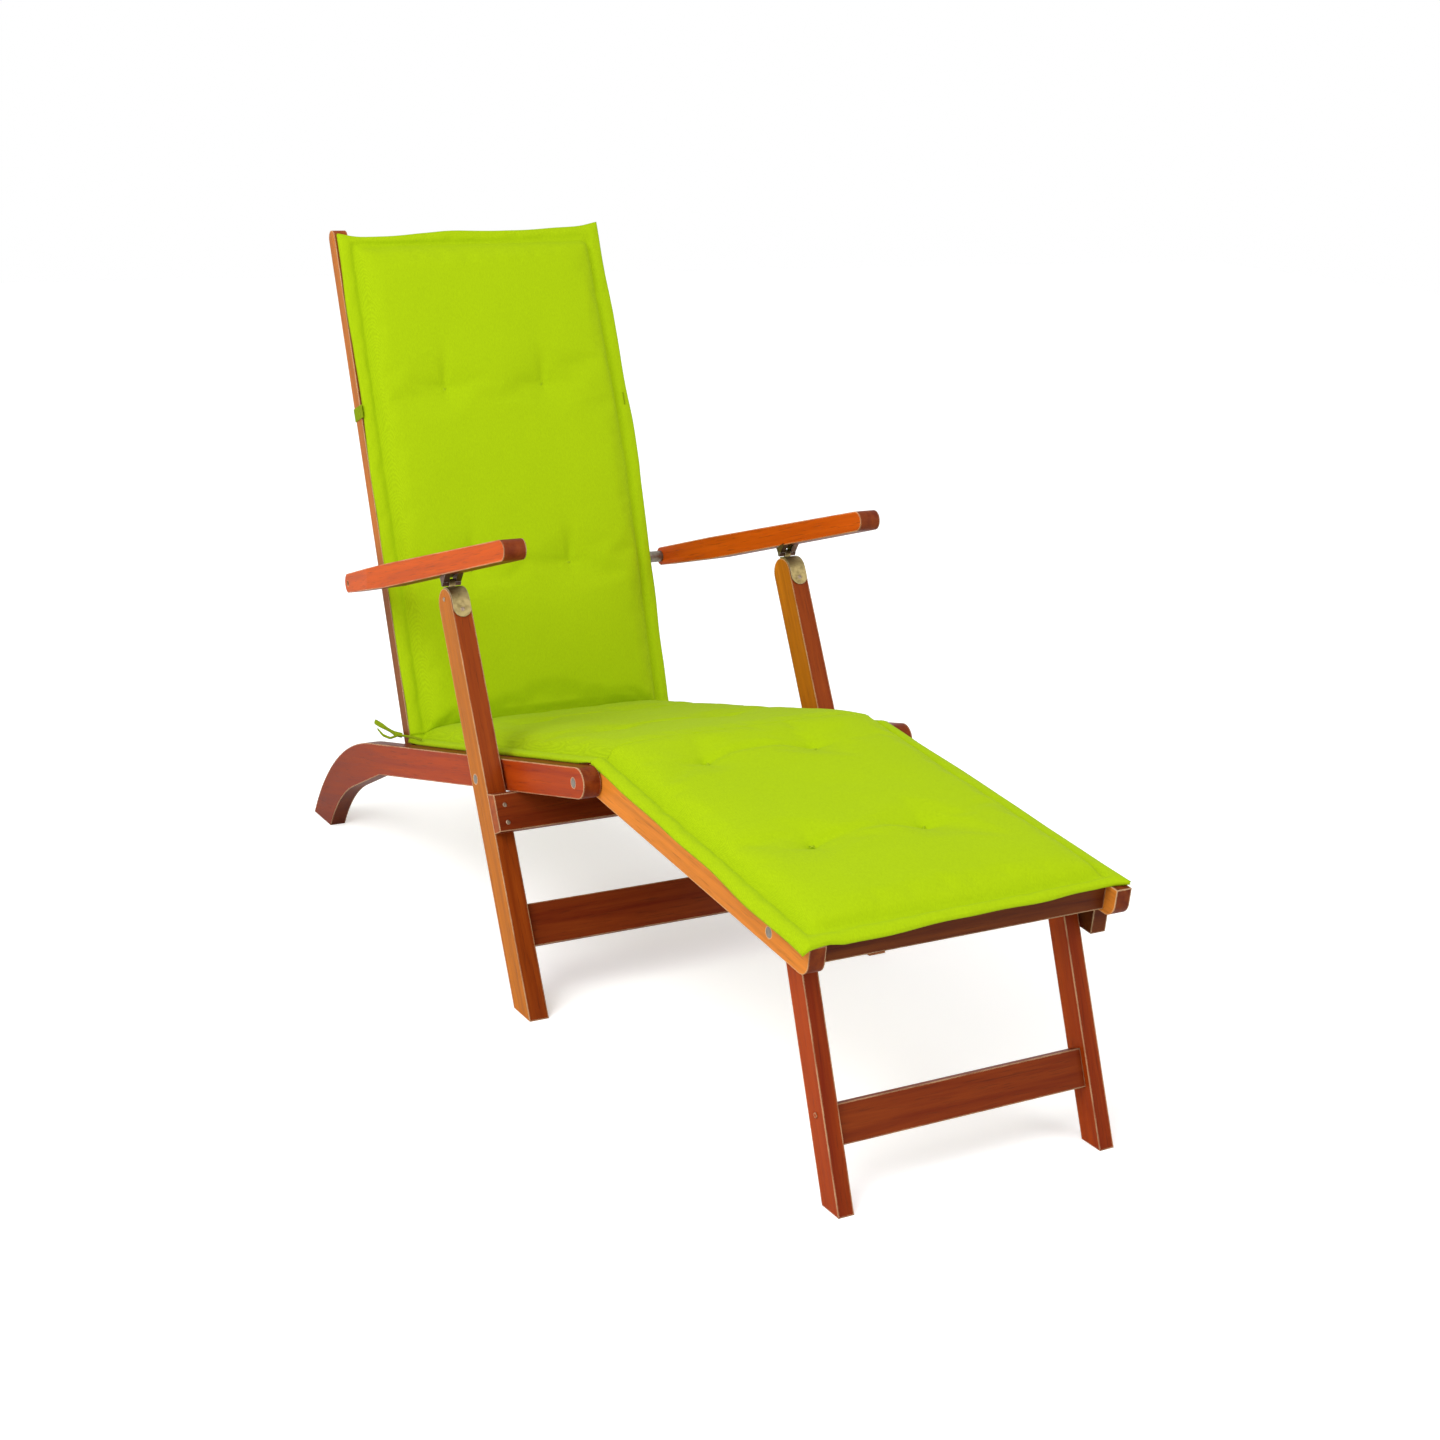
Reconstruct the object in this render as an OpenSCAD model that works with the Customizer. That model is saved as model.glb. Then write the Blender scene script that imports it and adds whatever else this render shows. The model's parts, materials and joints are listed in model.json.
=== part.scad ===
// Folding wooden chaise longue with a padded seat, back and footrest.
// Millimetres. X runs forward to the footrest, Y to the sitter's left, Z up from the floor.
// Side outlines are drawn as (X, Z) and given their thickness along Y.

/* [Seat frame] */
// Pitch of the seat rails, front end up, in degrees
seat_pitch = 13.65; // [12:0.05:15]
// Height of the rail tops above the floor at the crease of the seat and the back
seat_z = 218.8; // [212:0.2:230]
// Distance between the two seat rails
seat_inner_w = 454; // [440:1:480]
// Thickness of a seat rail
seat_rail_t = 25; // [20:0.5:30]
// Depth of a seat rail at its front end
seat_rail_front_h = 41; // [39:0.5:46]
// Depth of a seat rail ahead of its rear foot
seat_rail_rear_h = 48; // [44:0.5:54]
// Distance behind the crease at which the rail starts to sweep down
foot_bend_u = 108; // [100:1:115]
// Radius of the sweep along the top of the rear foot
foot_top_r = 400; // [390:1:410]
// Radius of the sweep along the underside of the rear foot
foot_under_r = 242.6; // [235:0.2:255]
// Distance behind the crease of the knee, where the underside starts to sweep down
knee_u = 205; // [195:1:215]
// Depth of the knee below the line of the rail's top
knee_depth = 75; // [72:0.5:80]
// Slope of the underside at the knee, in degrees
knee_slope = 27; // [25:0.5:30]
// Distance behind the crease at which the rail has its rear depth
belly_u = 76; // [60:1:90]

/* [Seat slats] */
// Number of seat slats
seat_slats = 7; // [4:1:8]
// Width of a seat slat
seat_slat_w = 44; // [30:1:50]
// Thickness of a seat slat
seat_slat_t = 10; // [8:0.5:14]
// How far the slats lie below the rail tops
seat_slat_drop = 4; // [3:0.5:6]
// Distance from the back's pivot to the first slat
seat_slat_start = 78; // [76:1:110]
// Distance from the footrest's pivot to the last slat
seat_slat_end = 70; // [70:1:110]

/* [Folding linkage] */
// Distance from the crease to the back's pivot, along the rail
back_pivot_u = 9; // [6:0.5:12]
// Depth of the back's pivot below the rail top
back_pivot_depth = 17.5; // [16:0.5:20]
// Distance between the back's pivot and the front leg's pivot, along the rail
leg_pivot_span = 377; // [360:1:390]
// Depth of the front leg's pivot below the rail top
leg_pivot_depth = 25; // [22:0.5:27]
// Length of the two parallel cranks, from the seat pivots up to the arm pivots
crank_l = 275; // [265:1:285]
// Rearward lean of the cranks, in degrees
crank_lean = 25.2; // [24:0.1:27]
// Radius of the pivot bolts
bolt_r = 4; // [3:0.25:5]
// Radius of a pivot bolt's head
bolt_head_r = 6.5; // [6:0.25:8]
// Thickness of a pivot bolt's head, which is let into the wood
bolt_head_t = 2.5; // [2:0.25:4]
// Radius of the washers on the pivot bolts
washer_r = 10; // [8:0.5:12]
// Radial clearance of a bolt in its holes
running_fit = 0.05; // [0.02:0.01:0.1]
// Gap between faces that slide past each other
face_gap = 0.3; // [0.2:0.05:0.5]
// Depth of the blind hole for the back's bolt in a seat rail
blind_hole = 15; // [10:0.5:18]

/* [Back] */
// Rearward lean of the back, in degrees
back_lean = 22.5; // [21:0.1:24]
// Length of a back rail above its pivot
back_rail_l = 826; // [790:1:860]
// Depth of a back rail
back_rail_h = 24; // [22:0.5:30]
// Thickness of a back rail
back_rail_t = 22; // [18:0.5:26]
// How far the rail's front face lies behind the pivot
back_rail_set = 4; // [3:0.5:6]
// Gap between a back rail and a seat rail
side_gap = 1.5; // [1:0.25:3]
// Radius of the round lug at the foot of a back rail
back_lug_r = 15; // [13:0.5:16]
// Number of back slats
back_slats = 8; // [6:1:9]
// Width of a back slat
back_slat_w = 42; // [30:1:50]
// Thickness of a back slat
back_slat_t = 9; // [7:0.5:10]
// Distance from the back's pivot to the lowest slat
back_slat_start = 66; // [60:1:80]
// Distance from the highest slat to the end of the rail
back_slat_end = 16; // [14:1:30]

/* [Arms] */
// Thickness of an arm
arm_t = 32.5; // [29:0.5:36]
// Gap between the inner face of an arm and that of the leg under it
arm_overhang = 0.5; // [0:0.25:2]
// Radius of the round rear end of an arm
arm_rear_r = 14.5; // [13:0.5:17]
// Radius of the round front end of an arm
arm_front_r = 14; // [12:0.5:16]
// Distance from the hinge pin to the centre of the front round
arm_front_reach = 215; // [190:1:240]
// Height of the arm's underside above the hinge pin
arm_pin_drop = 10.9; // [10.9:0.1:12]
// Slope of the underside against the line between the arm's pivots, in degrees
arm_under_slope = 4.6; // [4.2:0.1:5]
// Slope of the top edge against the line between the arm's pivots, in degrees
arm_top_slope = 3.8; // [3.5:0.1:4.2]
// Distance from the rear pivot to the deepest part of the arm
arm_belly_s = 168; // [150:1:190]
// Length over which the outer face narrows to the rear end
arm_taper_l = 110; // [90:1:130]
// How much the outer face narrows there
arm_taper = 7; // [4:0.5:9]

/* [Front legs] */
// Thickness of the washers between a seat rail and a front leg
washer_t = 5; // [3:0.5:8]
// Thickness of a front leg
leg_t = 28; // [24:0.5:28]
// Width of a front leg
leg_w = 44.7; // [42:0.1:44.8]
// Forward lean of a front leg towards its foot, in degrees
leg_lean = 27.5; // [26:0.1:28]
// How far the pivot lies behind the middle of the leg
leg_pivot_set = 8.6; // [6:0.1:10]
// Distance from the hinge pin to the centre of the leg's round top
leg_top_drop = 30.5; // [30.1:0.1:31]
// Distance from the floor to the underside of the lower stretcher
low_stretcher_z = 84; // [70:1:110]
// Width of the lower stretcher
low_stretcher_w = 58; // [40:1:70]
// Thickness of the stretchers
stretcher_t = 20; // [14:0.5:22]
// How far the lower stretcher lies behind the fronts of the legs
low_stretcher_set = 8; // [4:0.5:12]
// Height of the lower edge of the upper stretcher's front face above the floor
top_stretcher_z = 236; // [225:1:245]

/* [Arm hinges] */
// Radius of the hinge pin
pin_r = 2.5; // [2:0.25:3]
// Radius of the hinge knuckles
knuckle_r = 5; // [4.5:0.25:5.5]
// Radial clearance of the pin in the brass knuckle, where the linkage is opened
open_fit = 0.3; // [0.2:0.05:0.4]
// Thickness of the steel and brass hinge plates
plate_t = 2.2; // [1.6:0.1:2.4]
// Length of the bracket's plate ahead of the pin
bracket_front = 26; // [20:1:34]
// Length of the bracket's plate behind the pin
bracket_rear = 13; // [10:1:13]
// Length of the brass strap down the front of the leg
strap_l = 24; // [18:1:40]
// Radius of the steel spacer between a back rail and an arm
spacer_r = 9; // [7:0.5:11]

/* [Footrest] */
// Distance from the footrest's pivot to the centre of the seat rail's round front end
foot_pivot_inset = 10; // [8:0.5:12]
// Distance from the leg's pivot to the footrest's pivot, along the rail
foot_pivot_span = 241.4; // [225:0.2:250]
// Forward and downward pitch of the footrest, in degrees
foot_pitch = 5.7; // [4.5:0.1:7]
// Length of a footrest rail ahead of the pivot of its legs
foot_rail_end = 85.3; // [80:0.1:100]
// Depth of a footrest rail
foot_rail_h = 38; // [36:0.5:40]
// Thickness of a footrest rail
foot_rail_t = 22; // [18:0.5:24]
// Height of the rail's centreline above the pivot
foot_rail_rise = 2.3; // [1:0.1:3]
// Radius of the lower front corner of a footrest rail
foot_nose_r = 17; // [8:0.5:18]
// Number of footrest slats
foot_slats = 6; // [4:1:7]
// Width of a footrest slat
foot_slat_w = 40; // [30:1:46]
// Thickness of a footrest slat
foot_slat_t = 9; // [7:0.5:10]
// Distance from the pivot to the first footrest slat
foot_slat_start = 40; // [36:1:60]
// Distance from the last footrest slat to the pivot of the footrest legs
foot_slat_end = 38; // [36:1:50]
// Thickness of the front apron
apron_t = 14; // [10:0.5:18]
// Height of the front apron
apron_h = 33; // [24:0.5:36]
// How far the apron lies behind the front ends of the rails
apron_set = 20; // [14:0.5:24]
// Length of the stop block under the left rail
block_l = 32; // [20:1:36]
// Height of the stop block
block_h = 36; // [24:1:40]

/* [Footrest legs] */
// Distance from the footrest's pivot to the pivot of its legs
foot_leg_span = 449.7; // [440:0.1:452]
// Height of the leg pivot above the line of the footrest's pivot
foot_leg_rise = 0; // [0:0.1:1]
// Thickness of a footrest leg
foot_leg_t = 21; // [18:0.5:23]
// Width of a footrest leg
foot_leg_w = 32.8; // [30:0.1:34]
// Forward lean of a footrest leg towards its foot, in degrees
foot_leg_lean = 21.3; // [20:0.1:23]
// How far the pivot lies ahead of the middle of the leg
foot_leg_set = 4.6; // [3:0.1:6]
// Gap between a footrest rail and a footrest leg
foot_leg_gap = 6.5; // [4:0.5:8]
// Height of the footrest stretcher's underside above the floor
foot_stretcher_z = 69.4; // [60:0.2:100]
// Width of the footrest stretcher
foot_stretcher_w = 47; // [36:0.5:56]
// Thickness of the footrest stretcher
foot_stretcher_t = 16; // [12:0.5:20]

/* [Pads] */
// Gap between the pads and the seat rails
pad_side_gap = 3; // [2:0.5:8]
// Thickness of a pad from the slats to the top of its crown
pad_t = 33; // [26:0.5:36]
// Thickness of the flat sewn border
pad_border_t = 6; // [4:0.5:7]
// Width of the flat sewn border
pad_border_w = 27; // [20:0.5:32]
// Height of the border's underside above the slats
pad_border_lift = 5; // [4:0.5:6]
// Distance over which the crown rises from the border
pad_rise = 70; // [50:1:90]
// How far the sides draw in between the corners
pad_draw_in = 4; // [2:0.5:6]
// Depth of a sewn tuft
tuft_depth = 9; // [4:0.5:12]
// Radius of the dimple round a tuft
tuft_r = 34; // [24:1:44]
// Distance of the tufts from the middle of the pad
tuft_y = 84; // [70:1:100]
// Distance between the back pad's end and the ends of the back rails
back_pad_end = 3; // [0:0.5:40]
// Distance between the seat pad's end and the footrest's pivot
seat_pad_end = 11; // [10:0.5:14]
// Distance between the footrest pad's end and the front ends of the rails
foot_pad_end = 7; // [4:1:40]
// Distance between a pad's end and the crease
pad_end_gap = 6; // [5:0.5:8]
// Place of the crease along the seat rails
crease_u = 2.5; // [0:0.5:4]
// Height of the crease above the seat rails
crease_v = 10; // [9:0.5:14]
// Distance between the footrest's pivot and the footrest pad
foot_pad_start = 8; // [7:0.5:12]
// Distances of the back's tufts from the crease
back_tufts = [250, 538]; // [200:1:600]
// Distances of the seat's tufts from the crease
seat_tufts = [180, 440]; // [150:1:500]
// Distances of the footrest's tufts from its pivot
foot_tufts = [64, 318]; // [55:1:400]

/* [Small parts] */
// Radius of a screw head
screw_head_r = 3.4; // [2.5:0.1:4]
// Height of a screw head that stands on the surface
screw_head_t = 1.2; // [0.8:0.1:2]
// Height of the screw in a front leg's top above the centre of its round
leg_screw_up = 8; // [4:0.5:12]
// Heights of the screws above the upper stretcher's lower edge
stretcher_screw_up = [12, 36]; // [8:0.5:40]
// Distance of the screw above a footrest leg's foot
foot_screw_up = 110; // [95:1:120]
// Width of the elastic strap round a back rail
elastic_w = 20; // [14:1:30]
// Thickness of the elastic strap
elastic_t = 1.2; // [0.8:0.1:2]
// Number of back slats below the elastic strap
elastic_slat = 5; // [3:1:5]
// Gap between the elastic strap and the slat below it
elastic_gap = 17; // [4:0.5:24]

/* [Hidden] */
$fn = 64;
wood = [0.80, 0.52, 0.30];
wood_dark = [0.45, 0.18, 0.10];
steel = [0.62, 0.62, 0.64];
dark_steel = [0.20, 0.19, 0.18];
brass = [0.78, 0.60, 0.28];
lime = [0.67, 0.80, 0.08];
olive = [0.33, 0.38, 0.08];
LEFT = 1;
RIGHT = -1;
arc_steps = 20;

// A point at a distance along a direction, and a little across it
function step_to(p, angle, along, across = 0) = [
    p[0] + along * cos(angle) - across * sin(angle),
    p[1] + along * sin(angle) + across * cos(angle)
];
function dot2(a, b) = a[0] * b[0] + a[1] * b[1];
// Points of an arc about a centre, from one angle to another
function arc(c, r, a0, a1) = [
    for (i = [0:arc_steps]) step_to(c, a0 + (a1 - a0) * i / arc_steps, r)
];
// Where an arc that falls rearward about a centre meets the floor
function floor_angle(c, r) = 180 - asin(-c[1] / r);

// The seat's own line: u forward along the rail tops from the crease, v up from them
seat_origin = [0, seat_z];
function seat_at(u, v) = step_to(seat_origin, seat_pitch, u, v);

// The linkage's pivots in the side view
back_pivot = seat_at(back_pivot_u, -back_pivot_depth);
leg_pivot_u = back_pivot_u + leg_pivot_span;
leg_pivot = seat_at(leg_pivot_u, -leg_pivot_depth);
crank_angle = 90 + crank_lean;
arm_pivot = step_to(back_pivot, crank_angle, crank_l);
hinge_pivot = step_to(leg_pivot, crank_angle, crank_l);
foot_pivot_u = leg_pivot_u + foot_pivot_span;
foot_pivot = seat_at(foot_pivot_u, -seat_rail_front_h / 2);
seat_front_u = foot_pivot_u + foot_pivot_inset;

// The back's own line: along it from its pivot, and forward of it
back_angle = 90 + back_lean;
function back_at(along, fwd) = step_to(back_pivot, back_angle, along, -fwd);

// The arm's own line, from its rear pivot to the hinge pin
arm_span = norm(hinge_pivot - arm_pivot);
arm_angle = atan2(hinge_pivot[1] - arm_pivot[1], hinge_pivot[0] - arm_pivot[0]);
function arm_at(along, up) = step_to(arm_pivot, arm_angle, along, up);
function arm_under(s) = arm_pin_drop + (s - arm_span) * tan(arm_under_slope);
arm_front_s = arm_span + arm_front_reach;
arm_front_up = arm_under(arm_front_s) + arm_front_r;
function arm_top(s) = arm_front_up + arm_front_r + (s - arm_front_s) * tan(arm_top_slope);

// The front leg's middle line: its direction points up, and its top round has its own centre
leg_angle = 90 + leg_lean;
leg_axis = step_to(leg_pivot, leg_angle, 0, -leg_pivot_set);
leg_up = [cos(leg_angle), sin(leg_angle)];
leg_top_along = dot2(hinge_pivot - leg_axis, leg_up) - leg_top_drop;
leg_foot_along = -leg_axis[1] / sin(leg_angle);
function leg_at(along, fwd) = step_to(leg_axis, leg_angle, along, -fwd);
leg_top = leg_at(leg_top_along, 0);

// The footrest's own line: along it from its pivot, and up from it
foot_angle = -foot_pitch;
function foot_at(along, up) = step_to(foot_pivot, foot_angle, along, up);
foot_rail_l = foot_leg_span + foot_rail_end;
foot_top = foot_rail_rise + foot_rail_h / 2;
foot_under = foot_rail_rise - foot_rail_h / 2;
foot_leg_pivot = foot_at(foot_leg_span, foot_leg_rise);
foot_leg_angle = 90 + foot_leg_lean;
foot_leg_axis = step_to(foot_leg_pivot, foot_leg_angle, 0, foot_leg_set);
foot_leg_end = -foot_leg_axis[1] / sin(foot_leg_angle);
function foot_leg_at(along, fwd) = step_to(foot_leg_axis, foot_leg_angle, along, -fwd);
// A leg is cut level at its foot: how far up its line the cut lies at a distance forward of the middle
function level_cut(fwd, lean) = -fwd * tan(lean);

// Levels across the chair, from the middle outward
seat_in = seat_inner_w / 2;
seat_out = seat_in + seat_rail_t;
inner_out = seat_in - side_gap;
back_in = inner_out - back_rail_t;
foot_in = inner_out - foot_rail_t;
leg_in = seat_out + washer_t;
leg_out = leg_in + leg_t;
arm_in = leg_in + arm_overhang;
arm_out = arm_in + arm_t;
foot_leg_out = foot_in - foot_leg_gap;
foot_leg_in = foot_leg_out - foot_leg_t;
hole_r = bolt_r + running_fit;

// The rear foot's arcs, and the middle of the whole chair
foot_top_c = seat_at(-foot_bend_u, -foot_top_r);
knee = seat_at(-knee_u, -knee_depth);
foot_under_c = step_to(knee, knee_slope - 90, foot_under_r);
rear_toe = step_to(foot_top_c, floor_angle(foot_top_c, foot_top_r), foot_top_r);
front_toe = foot_leg_at(foot_leg_end + level_cut(foot_leg_w / 2, foot_leg_lean), foot_leg_w / 2);
mid_x = (rear_toe[0] + front_toe[0]) / 2;

// Puts the model's origin on the floor under the middle of the chair
module placed() {
    translate([-mid_x, 0, 0]) children();
}

// Gives a side outline its thickness, from an inner level outward on one side
module board(side, inner, t) {
    placed() mirror([0, side < 0 ? 1 : 0, 0])
        translate([0, inner + t, 0]) rotate([90, 0, 0]) linear_extrude(t) children();
}

// Gives a side outline a width across the middle of the chair
module across(half_w) {
    placed() translate([0, half_w, 0]) rotate([90, 0, 0]) linear_extrude(2 * half_w) children();
}

// A straight rod along Y on one side, from an inner to an outer level
module rod(side, p, r, inner, outer) {
    placed() mirror([0, side < 0 ? 1 : 0, 0])
        translate([p[0], outer, p[1]]) rotate([90, 0, 0]) cylinder(r = r, h = outer - inner);
}

module disc(p, r) {
    translate(p) circle(r);
}

module ring(side, p, r, hole, inner, outer) {
    difference() {
        rod(side, p, r, inner, outer);
        rod(side, p, hole, inner - 1, outer + 1);
    }
}

// A screw head on a face: centre in the side view, level, and the way the face looks
module screw_head(p, y, angle) {
    placed() translate([p[0], y, p[1]]) rotate([0, 90 - angle, 0])
        cylinder(r1 = screw_head_r, r2 = screw_head_r * 0.7, h = screw_head_t);
}

// A bolt whose head is let into the outer face of what it holds
module bolt(side, p, inner, outer) {
    rod(side, p, bolt_r, inner, outer - bolt_head_t);
    rod(side, p, bolt_head_r, outer - bolt_head_t, outer);
}

module bolt_hole(side, p, inner, outer) {
    rod(side, p, hole_r, inner - 1, outer + 1);
    rod(side, p, bolt_head_r + running_fit, outer - bolt_head_t - face_gap, outer + 1);
}

// Seat frame

module seat_rail_outline() {
    half = seat_rail_front_h / 2;
    polygon(concat(
        arc(foot_top_c, foot_top_r, 90 + seat_pitch, floor_angle(foot_top_c, foot_top_r)),
        arc(foot_under_c, foot_under_r, floor_angle(foot_under_c, foot_under_r), 90 + knee_slope),
        [seat_at(-belly_u, -seat_rail_rear_h)],
        arc(seat_at(seat_front_u, -half), half, seat_pitch - 90, seat_pitch + 90)
    ));
}

module seat_rail(side) {
    difference() {
        board(side, seat_in, seat_rail_t) seat_rail_outline();
        rod(side, back_pivot, hole_r, seat_in - 1, seat_in + blind_hole);
        rod(side, leg_pivot, hole_r, seat_in - 1, seat_out + 1);
        bolt_hole(side, foot_pivot, seat_in, seat_out);
    }
}

module seat_slat(u) {
    across(seat_in) polygon([
        seat_at(u, -seat_slat_drop),
        seat_at(u + seat_slat_w, -seat_slat_drop),
        seat_at(u + seat_slat_w, -seat_slat_drop - seat_slat_t),
        seat_at(u, -seat_slat_drop - seat_slat_t)
    ]);
}

module seat_slat_set() {
    first = back_pivot_u + seat_slat_start;
    last = foot_pivot_u - seat_slat_end - seat_slat_w;
    for (i = [0:seat_slats - 1]) seat_slat(first + (last - first) * i / (seat_slats - 1));
}

// Back

module back_rail_outline() {
    half = back_rail_h / 2;
    rear = -back_rail_set - back_rail_h;
    lug_start = back_angle + asin(back_rail_set / back_lug_r);
    polygon(concat(
        arc(back_pivot, back_lug_r, lug_start, back_angle - 225),
        [back_at(half, rear)],
        arc(back_at(back_rail_l - half, rear + half), half, back_angle + 90, back_angle - 90)
    ));
}

module back_rail(side) {
    difference() {
        board(side, back_in, back_rail_t) back_rail_outline();
        rod(side, back_pivot, hole_r, back_in - 1, inner_out + 1);
        rod(side, arm_pivot, hole_r, back_in - 1, inner_out + 1);
    }
}

module back_slat(along) {
    across(back_in) polygon([
        back_at(along, -back_rail_set),
        back_at(along + back_slat_w, -back_rail_set),
        back_at(along + back_slat_w, -back_rail_set - back_slat_t),
        back_at(along, -back_rail_set - back_slat_t)
    ]);
}

back_slat_last = back_rail_l - back_slat_end - back_slat_w;
back_slat_step = (back_slat_last - back_slat_start) / (back_slats - 1);
module back_slat_set() {
    for (i = [0:back_slats - 1]) back_slat(back_slat_start + back_slat_step * i);
}

// Arms

module arm_outline() {
    polygon(concat(
        arc(arm_pivot, arm_rear_r, arm_angle + 90, arm_angle + 270),
        [arm_at(arm_belly_s, arm_under(arm_belly_s))],
        arc(arm_at(arm_front_s, arm_front_up), arm_front_r, arm_angle - 90, arm_angle + 90),
        [arm_at(arm_belly_s, arm_top(arm_belly_s))]
    ));
}

module arm(side) {
    rear_x = arm_pivot[0] - arm_rear_r;
    difference() {
        board(side, arm_in, arm_t) arm_outline();
        rod(side, arm_pivot, hole_r, arm_in - 1, arm_out + 1);
        placed() mirror([0, side < 0 ? 1 : 0, 0]) linear_extrude(hinge_pivot[1] * 2) polygon([
            [rear_x + arm_taper_l, arm_out],
            [rear_x + arm_taper_l, arm_out + 1],
            [rear_x - 1, arm_out + 1],
            [rear_x - 1, arm_out - arm_taper],
            [rear_x, arm_out - arm_taper]
        ]);
    }
}

// The steel bracket: a plate under the arm, and two cheeks that taper down to the knuckles
module bracket(side) {
    drop = arm_pin_drop;
    slope = tan(arm_under_slope);
    cheek = leg_t / 3 - face_gap;
    plate_in = leg_in + arm_overhang;
    module plate_outline() {
        polygon([
            arm_at(arm_span - bracket_rear, drop - bracket_rear * slope),
            arm_at(arm_span + bracket_front, drop + bracket_front * slope),
            arm_at(arm_span + bracket_front, drop + bracket_front * slope - plate_t),
            arm_at(arm_span - bracket_rear, drop - bracket_rear * slope - plate_t)
        ]);
    }
    module cheek_outline() {
        polygon([
            arm_at(arm_span - bracket_rear, drop - bracket_rear * slope - plate_t / 2),
            arm_at(arm_span + bracket_front, drop + bracket_front * slope - plate_t / 2),
            arm_at(arm_span + knuckle_r, 0),
            arm_at(arm_span - knuckle_r, 0)
        ]);
        disc(hinge_pivot, knuckle_r);
    }
    difference() {
        union() {
            board(side, plate_in, leg_t - arm_overhang) plate_outline();
            board(side, plate_in, cheek - arm_overhang) cheek_outline();
            board(side, leg_out - cheek, cheek) cheek_outline();
        }
        rod(side, hinge_pivot, pin_r, leg_in - 1, leg_out + 1);
    }
}

// Front legs

module leg_outline() {
    half = leg_w / 2;
    polygon(concat(
        [leg_at(leg_foot_along + level_cut(-half, leg_lean), -half)],
        arc(leg_top, half, leg_angle + 90, leg_angle - 90),
        [leg_at(leg_foot_along + level_cut(half, leg_lean), half)]
    ));
}

module leg(side) {
    difference() {
        board(side, leg_in, leg_t) leg_outline();
        bolt_hole(side, leg_pivot, leg_in, leg_out);
    }
}

// The upper stretcher lies on the fronts of the legs, and its top is cut to the rails' underside
module upper_stretcher_outline() {
    tilt = seat_pitch + atan((seat_rail_rear_h - seat_rail_front_h) / (seat_front_u + belly_u));
    start = seat_at(seat_front_u, -seat_rail_front_h - face_gap);
    function under_at(fwd) = let (
        p = leg_at(0, fwd),
        d = (tan(tilt) * (p[0] - start[0]) + start[1] - p[1]) / (leg_up[1] - tan(tilt) * leg_up[0])
    ) leg_at(d, fwd);
    low = (top_stretcher_z - leg_at(0, leg_w / 2 + stretcher_t)[1]) / leg_up[1];
    polygon([
        leg_at(low, leg_w / 2),
        under_at(leg_w / 2),
        under_at(leg_w / 2 + stretcher_t),
        leg_at(low, leg_w / 2 + stretcher_t)
    ]);
}

module lower_stretcher_outline() {
    front = leg_w / 2 - low_stretcher_set;
    low = (low_stretcher_z - leg_at(0, front)[1]) / leg_up[1];
    polygon([
        leg_at(low, front - stretcher_t),
        leg_at(low + low_stretcher_w, front - stretcher_t),
        leg_at(low + low_stretcher_w, front),
        leg_at(low, front)
    ]);
}

// The brass strap: a knuckle, a bend over the leg's round top and a tail down its front face
module strap(side) {
    in_r = leg_w / 2;
    out_r = in_r + plate_t;
    front_a = leg_angle - 90;
    pin_a = atan2(hinge_pivot[1] - leg_top[1], hinge_pivot[0] - leg_top[0]);
    third = leg_t / 3 + face_gap;
    tail_end = leg_top_along - strap_l;
    module bend() {
        polygon(concat(arc(leg_top, out_r, front_a, pin_a), arc(leg_top, in_r, pin_a, front_a)));
    }
    module neck() {
        polygon([
            step_to(leg_top, pin_a, in_r, plate_t),
            step_to(leg_top, pin_a, leg_top_drop, plate_t),
            step_to(leg_top, pin_a, leg_top_drop, -plate_t),
            step_to(leg_top, pin_a, in_r, -plate_t)
        ]);
        disc(hinge_pivot, knuckle_r);
    }
    module tail() {
        polygon([
            leg_at(leg_top_along, in_r),
            leg_at(leg_top_along, out_r),
            leg_at(tail_end, out_r),
            leg_at(tail_end, in_r)
        ]);
    }
    difference() {
        union() {
            board(side, leg_in + 1, leg_t - 2) bend();
            board(side, leg_in + 1, leg_t - 2) tail();
            board(side, leg_in + third, leg_t - 2 * third) difference() {
                neck();
                disc(leg_top, in_r);
            }
        }
        rod(side, hinge_pivot, pin_r + open_fit, leg_in - 1, leg_out + 1);
    }
}

// Footrest

module footrest_rail_outline() {
    nose_c = foot_at(foot_rail_l - foot_nose_r, foot_under + foot_nose_r);
    polygon(concat(
        arc(foot_at(0, foot_rail_rise), foot_rail_h / 2, foot_angle + 270, foot_angle + 90),
        [foot_at(foot_rail_l, foot_top)],
        arc(nose_c, foot_nose_r, foot_angle, foot_angle - 90)
    ));
}

module footrest_rail(side) {
    difference() {
        board(side, foot_in, foot_rail_t) footrest_rail_outline();
        rod(side, foot_pivot, hole_r, foot_in - 1, inner_out + 1);
        bolt_hole(side, foot_leg_pivot, foot_in, inner_out);
    }
}

module footrest_slat(along) {
    across(foot_in) polygon([
        foot_at(along, foot_top),
        foot_at(along + foot_slat_w, foot_top),
        foot_at(along + foot_slat_w, foot_top - foot_slat_t),
        foot_at(along, foot_top - foot_slat_t)
    ]);
}

module footrest_slat_set() {
    last = foot_leg_span - foot_slat_end - foot_slat_w;
    for (i = [0:foot_slats - 1])
        footrest_slat(foot_slat_start + (last - foot_slat_start) * i / (foot_slats - 1));
}

module apron_outline() {
    front = foot_rail_l - apron_set;
    polygon([
        foot_at(front - apron_t, foot_top),
        foot_at(front, foot_top),
        foot_at(front, foot_top - apron_h),
        foot_at(front - apron_t, foot_top - apron_h)
    ]);
}

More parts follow.
